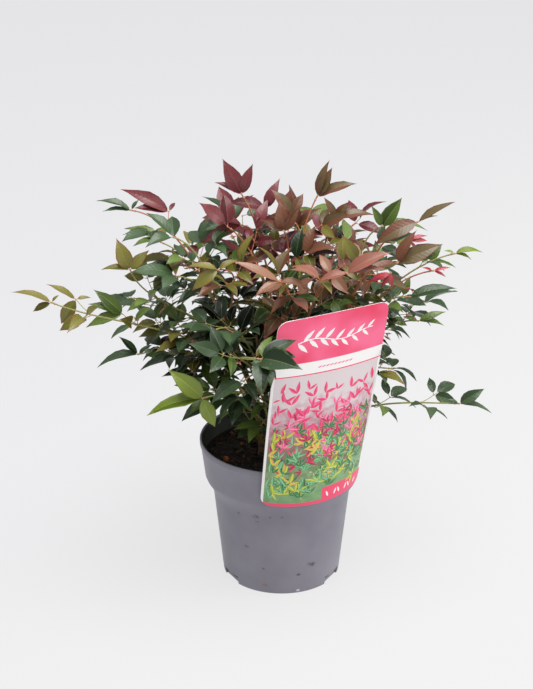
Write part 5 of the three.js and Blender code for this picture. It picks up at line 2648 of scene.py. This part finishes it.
@dataclass
class CareCard:
    """The bent care card, its tongue over the rim and its generic print."""

    surface: CardSurface = CardSurface()
    across: int = 44
    corner_steps: int = 7
    row_density: float = 60
    tongue_width: float = 24
    tongue_thick: float = 0.8
    tongue_reach: float = 143
    tongue_inset: float = 3.4
    print_edge: float = 3.5
    print_rise: float = 0.02
    print_layers: int = 40
    print_step: float = 0.004
    leaf_width: float = 0.14
    leaf_shares: tuple[float, ...] = (0, 0.22, 0.5, 0.8, 1)
    leaf_swell: tuple[float, ...] = (0, 0.8, 1, 0.5, 0)
    vine_leaves: int = 15
    vine_start: float = -0.66
    vine_span: float = 1.44
    vine_height: float = 0.875
    vine_wave: Span = (0.014, 8)
    vine_leans: Span = (136, 44)
    vine_leaf: float = 16
    vine_shrink: float = 0.35
    vine_stem: float = 0.45
    border: float = 0.955
    foot_start: float = 0.06
    foot_gap: float = 0.08
    foot_top: float = 0.082
    lowest_fan: float = 0.026
    fan_stir: float = 14
    fan_sizes: Span = (0.75, 1)
    front_share: float = 0.3
    crease: float = 40
    seed: int = 19
    bands: tuple[tuple[float, float, Ink], ...] = (
        (0.0, 0.018, Ink.BAND), (0.018, 0.082, Ink.GROUND), (0.082, 0.706, Ink.GROUND),
        (0.706, 0.712, Ink.BAND), (0.712, 0.772, Ink.WHITE), (0.772, 1.0, Ink.HEADER))

    @property
    def limit(self) -> float:
        """Half the width that the print may fill, in millimetres."""
        return self.surface.width / 2 - self.print_edge

    def columns(self) -> Array:
        """Lists places across the card, closer together in its rounded corners.

        Returns:
            The places, from -1 to 1.
        """
        corner = self.surface.corner / (self.surface.width / 2)
        arc = 1 - corner * (1 - np.sin(np.linspace(0, math.pi / 2, self.corner_steps)))
        inner = np.linspace(-arc[0], arc[0], self.across)[1:-1]
        return np.sort(np.concatenate([-arc, inner, arc, [-self.border, self.border]]))

    def rows(self) -> Array:
        """Lists places up the card, with one at each edge of a band.

        Returns:
            The places, from 0 to 1.
        """
        steps = [np.linspace(low, high, max(2, round((high - low) * self.row_density)))[:-1]
                 for low, high, _ in self.bands]
        return np.concatenate([*steps, [1.0]])

    def ink_at(self, u: float, v: float) -> Ink:
        """Finds the ink at a place of the front, white beside the picture.

        Args:
            u: Place across, from -1 to 1.
            v: Place up the card, from 0 to 1.

        Returns:
            The ink.
        """
        ink = next(ink for _, high, ink in self.bands if v <= high)
        if v < self.foot_top and u > self.foot_start:
            return Ink.BAND
        return Ink.WHITE if ink is Ink.GROUND and abs(u) > self.border else ink

    def sheet(self) -> bpy.types.Object:
        """Builds the bent sheet, each band in its ink.

        Returns:
            The piece.
        """
        surface, columns, rows = self.surface, self.columns(), self.rows()
        wide, deep = len(columns) - 1, len(rows) - 1
        work = bmesh.new()
        bmesh.ops.create_grid(work, x_segments=wide, y_segments=deep, size=1)
        layer = work.loops.layers.uv.new("surface")
        for vert in work.verts:
            x, y = ((share + 1) / 2 for share in vert.co.xy)
            vert.co = (columns[round(x * wide)], rows[round(y * deep)], 0)
        for face in work.faces:
            middle = face.calc_center_median()
            face.material_index = INKS.index(self.ink_at(middle.x, middle.y))
            for loop in face.loops:
                loop[layer].uv = loop.vert.co.xy
        for vert in work.verts:
            u, v = vert.co.xy
            trim = surface.trim(u)
            vert.co = surface.point(u, clamp(v, trim, 1 - trim), surface.thick / 2) * MM
        bmesh.ops.remove_doubles(work, verts=work.verts, dist=MERGE)
        facing = Vector(heading(surface.azimuth, -surface.lean))
        if sum(face.normal.dot(facing) for face in work.faces) < 0:
            bmesh.ops.reverse_faces(work, faces=work.faces)
        bmesh.ops.solidify(work, geom=work.faces, thickness=surface.thick * MM)
        for face in work.faces:
            if face.normal.dot(facing) < self.front_share:
                face.material_index = INKS.index(Ink.BACK)
        mesh = to_mesh(work, "care_card", [ink.value.make() for ink in INKS])
        return place_piece(mesh, self.crease)

    def printed_leaf(self, x: float, y: float, angle: float, length: float,
                     layer: int = 0) -> tuple[Array, Faces] | None:
        """Makes one printed leaf: a thin closed shape that follows the card's bend.

        Args:
            x: Place of its foot across the card, in millimetres from the middle.
            y: Place of its foot up the card, in millimetres.
            angle: Lean from upright, in degrees.
            length: Its length.
            layer: Number of its layer of ink.

        Returns:
            Its points and faces, or None where it would leave the picture.
        """
        surface = self.surface
        swell = np.array(self.leaf_swell) * length * self.leaf_width
        lean = math.radians(angle)
        ahead = np.array([math.sin(lean), math.cos(lean)])
        aside = np.array([math.cos(lean), -math.sin(lean)])
        spine = np.array([x, y]) + np.array(self.leaf_shares)[:, None] * length * ahead
        flat = np.vstack([spine, spine[1:4] + swell[1:4, None] * aside,
                          spine[1:4] - swell[1:4, None] * aside])
        if np.abs(flat[:, 0]).max() > self.limit:
            return None
        over = surface.thick / 2 + self.print_rise + layer * self.print_step
        rows = [surface.point(flat[:, 0] * 2 / surface.width, flat[:, 1] / surface.height,
                              np.full(len(flat), out)) for out in (over, surface.thick / 4)]
        right, left, below = [0, 5, 6, 7, 4], [4, 10, 9, 8, 0], len(flat)
        ring = [*right, *left[1:-1]]
        faces: Faces = [(*reversed(right), 1, 2, 3), (*reversed(left), 3, 2, 1)]
        faces += [(a, b, b + below, a + below) for a, b in zip(ring, [*ring[1:], ring[0]])]
        faces.append(tuple(i + below for i in ring))
        return np.vstack(rows), faces

    def print_work(self) -> bpy.types.Object:
        """Joins all printed leaves: strewn ones below, a plain white vine in the header.

        Returns:
            The piece.
        """
        random, batch, layer = Lehmer(self.seed), Batch(), 0
        foot_edge = (self.foot_start - self.foot_gap) * self.limit
        for motif in MOTIFS:
            start = random()
            halves = [INKS.index(ink) for ink in motif.inks]
            for fan in range(motif.fans):
                x = ((start + fan * GOLDEN_SHARE) % 1 * 2 - 1) * self.limit
                clear = self.foot_top if x > foot_edge else self.lowest_fan
                y = random.between(max(motif.low, clear), motif.high) * self.surface.height
                lean, length = random.swing(motif.lean), random.between(*motif.length)
                for number in range(motif.leaves):
                    turn = lean + motif.spread * (number / (motif.leaves - 1) - 0.5)
                    turn += random.swing(self.fan_stir)
                    made = self.printed_leaf(x, y, turn, length * random.between(*self.fan_sizes),
                                             layer % self.print_layers)
                    layer += 1
                    if made:
                        batch.add(*made, halves + [0] * (len(made[1]) - 2))
        self.add_vine(batch)
        return batch.write("card_print", [ink.value.make() for ink in INKS], self.crease)

    def add_vine(self, batch: Batch) -> None:
        """Adds the header's white vine and the rows of small leaves in stripe and foot.

        Args:
            batch: The print in the making.
        """
        surface, white, limit = self.surface, INKS.index(Ink.WHITE), self.limit
        shares = np.linspace(0, 1, self.vine_leaves)
        swing, turns = self.vine_wave
        across = (shares * self.vine_span + self.vine_start) * limit
        up = (self.vine_height + swing * np.sin(shares * turns)) * surface.height
        path = surface.point(across * 2 / surface.width, up / surface.height,
                             np.full(len(shares), surface.thick / 2))
        batch.add(*tube(path, np.full(len(shares), self.vine_stem), 6), white)
        for number, share in enumerate(shares[:-1]):
            length = self.vine_leaf * (1 - self.vine_shrink * share)
            batch.add(*self.printed_leaf(across[number], up[number], self.vine_leans[number % 2],
                                         length), white)
        for row in LEAF_ROWS:
            for number in range(row.count):
                x = mix(row.start, row.stop, number / (row.count - 1)) * limit
                batch.add(*self.printed_leaf(x, row.height * surface.height,
                                             row.leans[number % 2], row.length),
                          INKS.index(row.ink))

    def tongue(self) -> bpy.types.Object:
        """Builds the tongue that hooks over the rim and down inside it.

        Returns:
            The piece.
        """
        over, front = POT.height + CLEAR, self.surface.rim_reach
        inner, thick = POT.rim - POT.wall - self.tongue_inset, self.tongue_thick
        line = [(front, over), (front, over + thick), (inner - thick, over + thick),
                (inner - thick, self.tongue_reach), (inner, self.tongue_reach), (inner, over)]
        away = heading(self.surface.azimuth, 0)
        across = leftwards(away) * self.tongue_width / 2
        points = [away * r + UP * z + across * hand for hand in (-1, 1) for r, z in line]
        count = len(line)
        faces: Faces = [tuple(range(count)), tuple(reversed(range(count, count * 2)))]
        faces += [(i, i + count, (i + 1) % count + count, (i + 1) % count)
                  for i in range(count)]
        batch = Batch()
        batch.add(np.array(points), faces)
        return batch.write("card_tongue", [Ink.WHITE.value.make()], self.crease)

    def build(self) -> list[bpy.types.Object]:
        """Builds the card, its print and its tongue, and returns the pieces."""
        return [dress(piece, "label_card", "label")
                for piece in (self.sheet(), self.print_work(), self.tongue())]


# ---- Studio ---------------------------------------------------------------
@dataclass(frozen=True)
class Lamp:
    """One large soft lamp that points at the plant."""

    name: str
    place: Place
    power: float
    size: float


@dataclass
class Studio:
    """A pale floor, soft light from all sides and the camera."""

    floor: float = 40
    sky: float = 0.72
    horizon: float = 0.22
    aim: Place = (0, 0, 0.22)
    lens: float = 92.67
    camera: Place = (-0.0157, -1.6544, 0.9651)
    pitch: float = 66.8
    farthest: float = 50
    lamps: tuple[Lamp, ...] = (
        Lamp("top_softbox", (0.3, -0.5, 2.6), 74, 2.0),
        Lamp("side_softbox", (2.3, 0.1, 1.0), 18, 1.3),
        Lamp("front_softbox", (1.1, -2.3, 1.3), 9, 1.2),
    )

    def build(self) -> None:
        """Builds the studio round the plant."""
        self.lay_floor()
        self.light()
        self.place_camera()

    def lay_floor(self) -> None:
        """Lays the floor just under the pot."""
        work = bmesh.new()
        bmesh.ops.create_grid(work, x_segments=1, y_segments=1, size=self.floor / 2)
        mesh = to_mesh(work, "studio_floor", [BackdropFinish().make()])
        add_object("studio_floor", mesh)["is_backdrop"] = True

    def light(self) -> None:
        """Sets the even light of the room and its soft lamps."""
        world = bpy.data.worlds.new("studio_light")
        world.use_nodes = True
        tree = world.node_tree
        place = add_node(tree, "TexCoord")["Generated"]
        height = add_node(tree, "SeparateXYZ", {0: place})["Z"]
        glow = add_node(tree, "MapRange", {"Value": height, "To Min": self.horizon,
                                           "To Max": self.sky})
        ground = tree.nodes["Background"].inputs
        tree.links.new(glow[0], ground["Strength"])
        ground["Color"].default_value = (1, 1, 1, 1)
        bpy.context.scene.world = world
        for lamp in self.lamps:
            data = bpy.data.lights.new(lamp.name, "AREA")
            data.shape, data.size, data.energy = "DISK", lamp.size, lamp.power
            made = add_object(lamp.name, data)
            made.location = lamp.place
            line = Vector(self.aim) - Vector(lamp.place)
            made.rotation_euler = line.to_track_quat("-Z", "Y").to_euler()

    def place_camera(self) -> None:
        """Places the camera and keeps the colours as they are."""
        data = bpy.data.cameras.new("studio_camera")
        data.lens, data.clip_end = self.lens, self.farthest
        made = add_object("studio_camera", data)
        made.location = self.camera
        made.rotation_euler = (math.radians(self.pitch), 0, 0)
        bpy.context.scene.camera = made
        bpy.context.scene.view_settings.view_transform = "Standard"


def write_size() -> None:
    """Writes the box of the solids and of the finished pieces."""
    boxes = {"cad": CAD_BOX, "visual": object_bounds()}
    plain = {name: [[float(v) for v in corner] for corner in box] for name, box in boxes.items()}
    LOG.info("size %s", plain)


def main() -> None:
    """Builds the plant, its pot, its card and the studio."""
    logging.basicConfig(level=logging.INFO, format="%(name)s %(message)s")
    card = CareCard()
    crown = Crown(card.surface)
    crown.grow_finer()
    Foliage(crown).build()
    Canes(crown.canes).build()
    NurseryPot().build()
    PottingSoil().build()
    card.build()
    Studio().build()
    write_size()


if __name__ == "__main__":
    main()
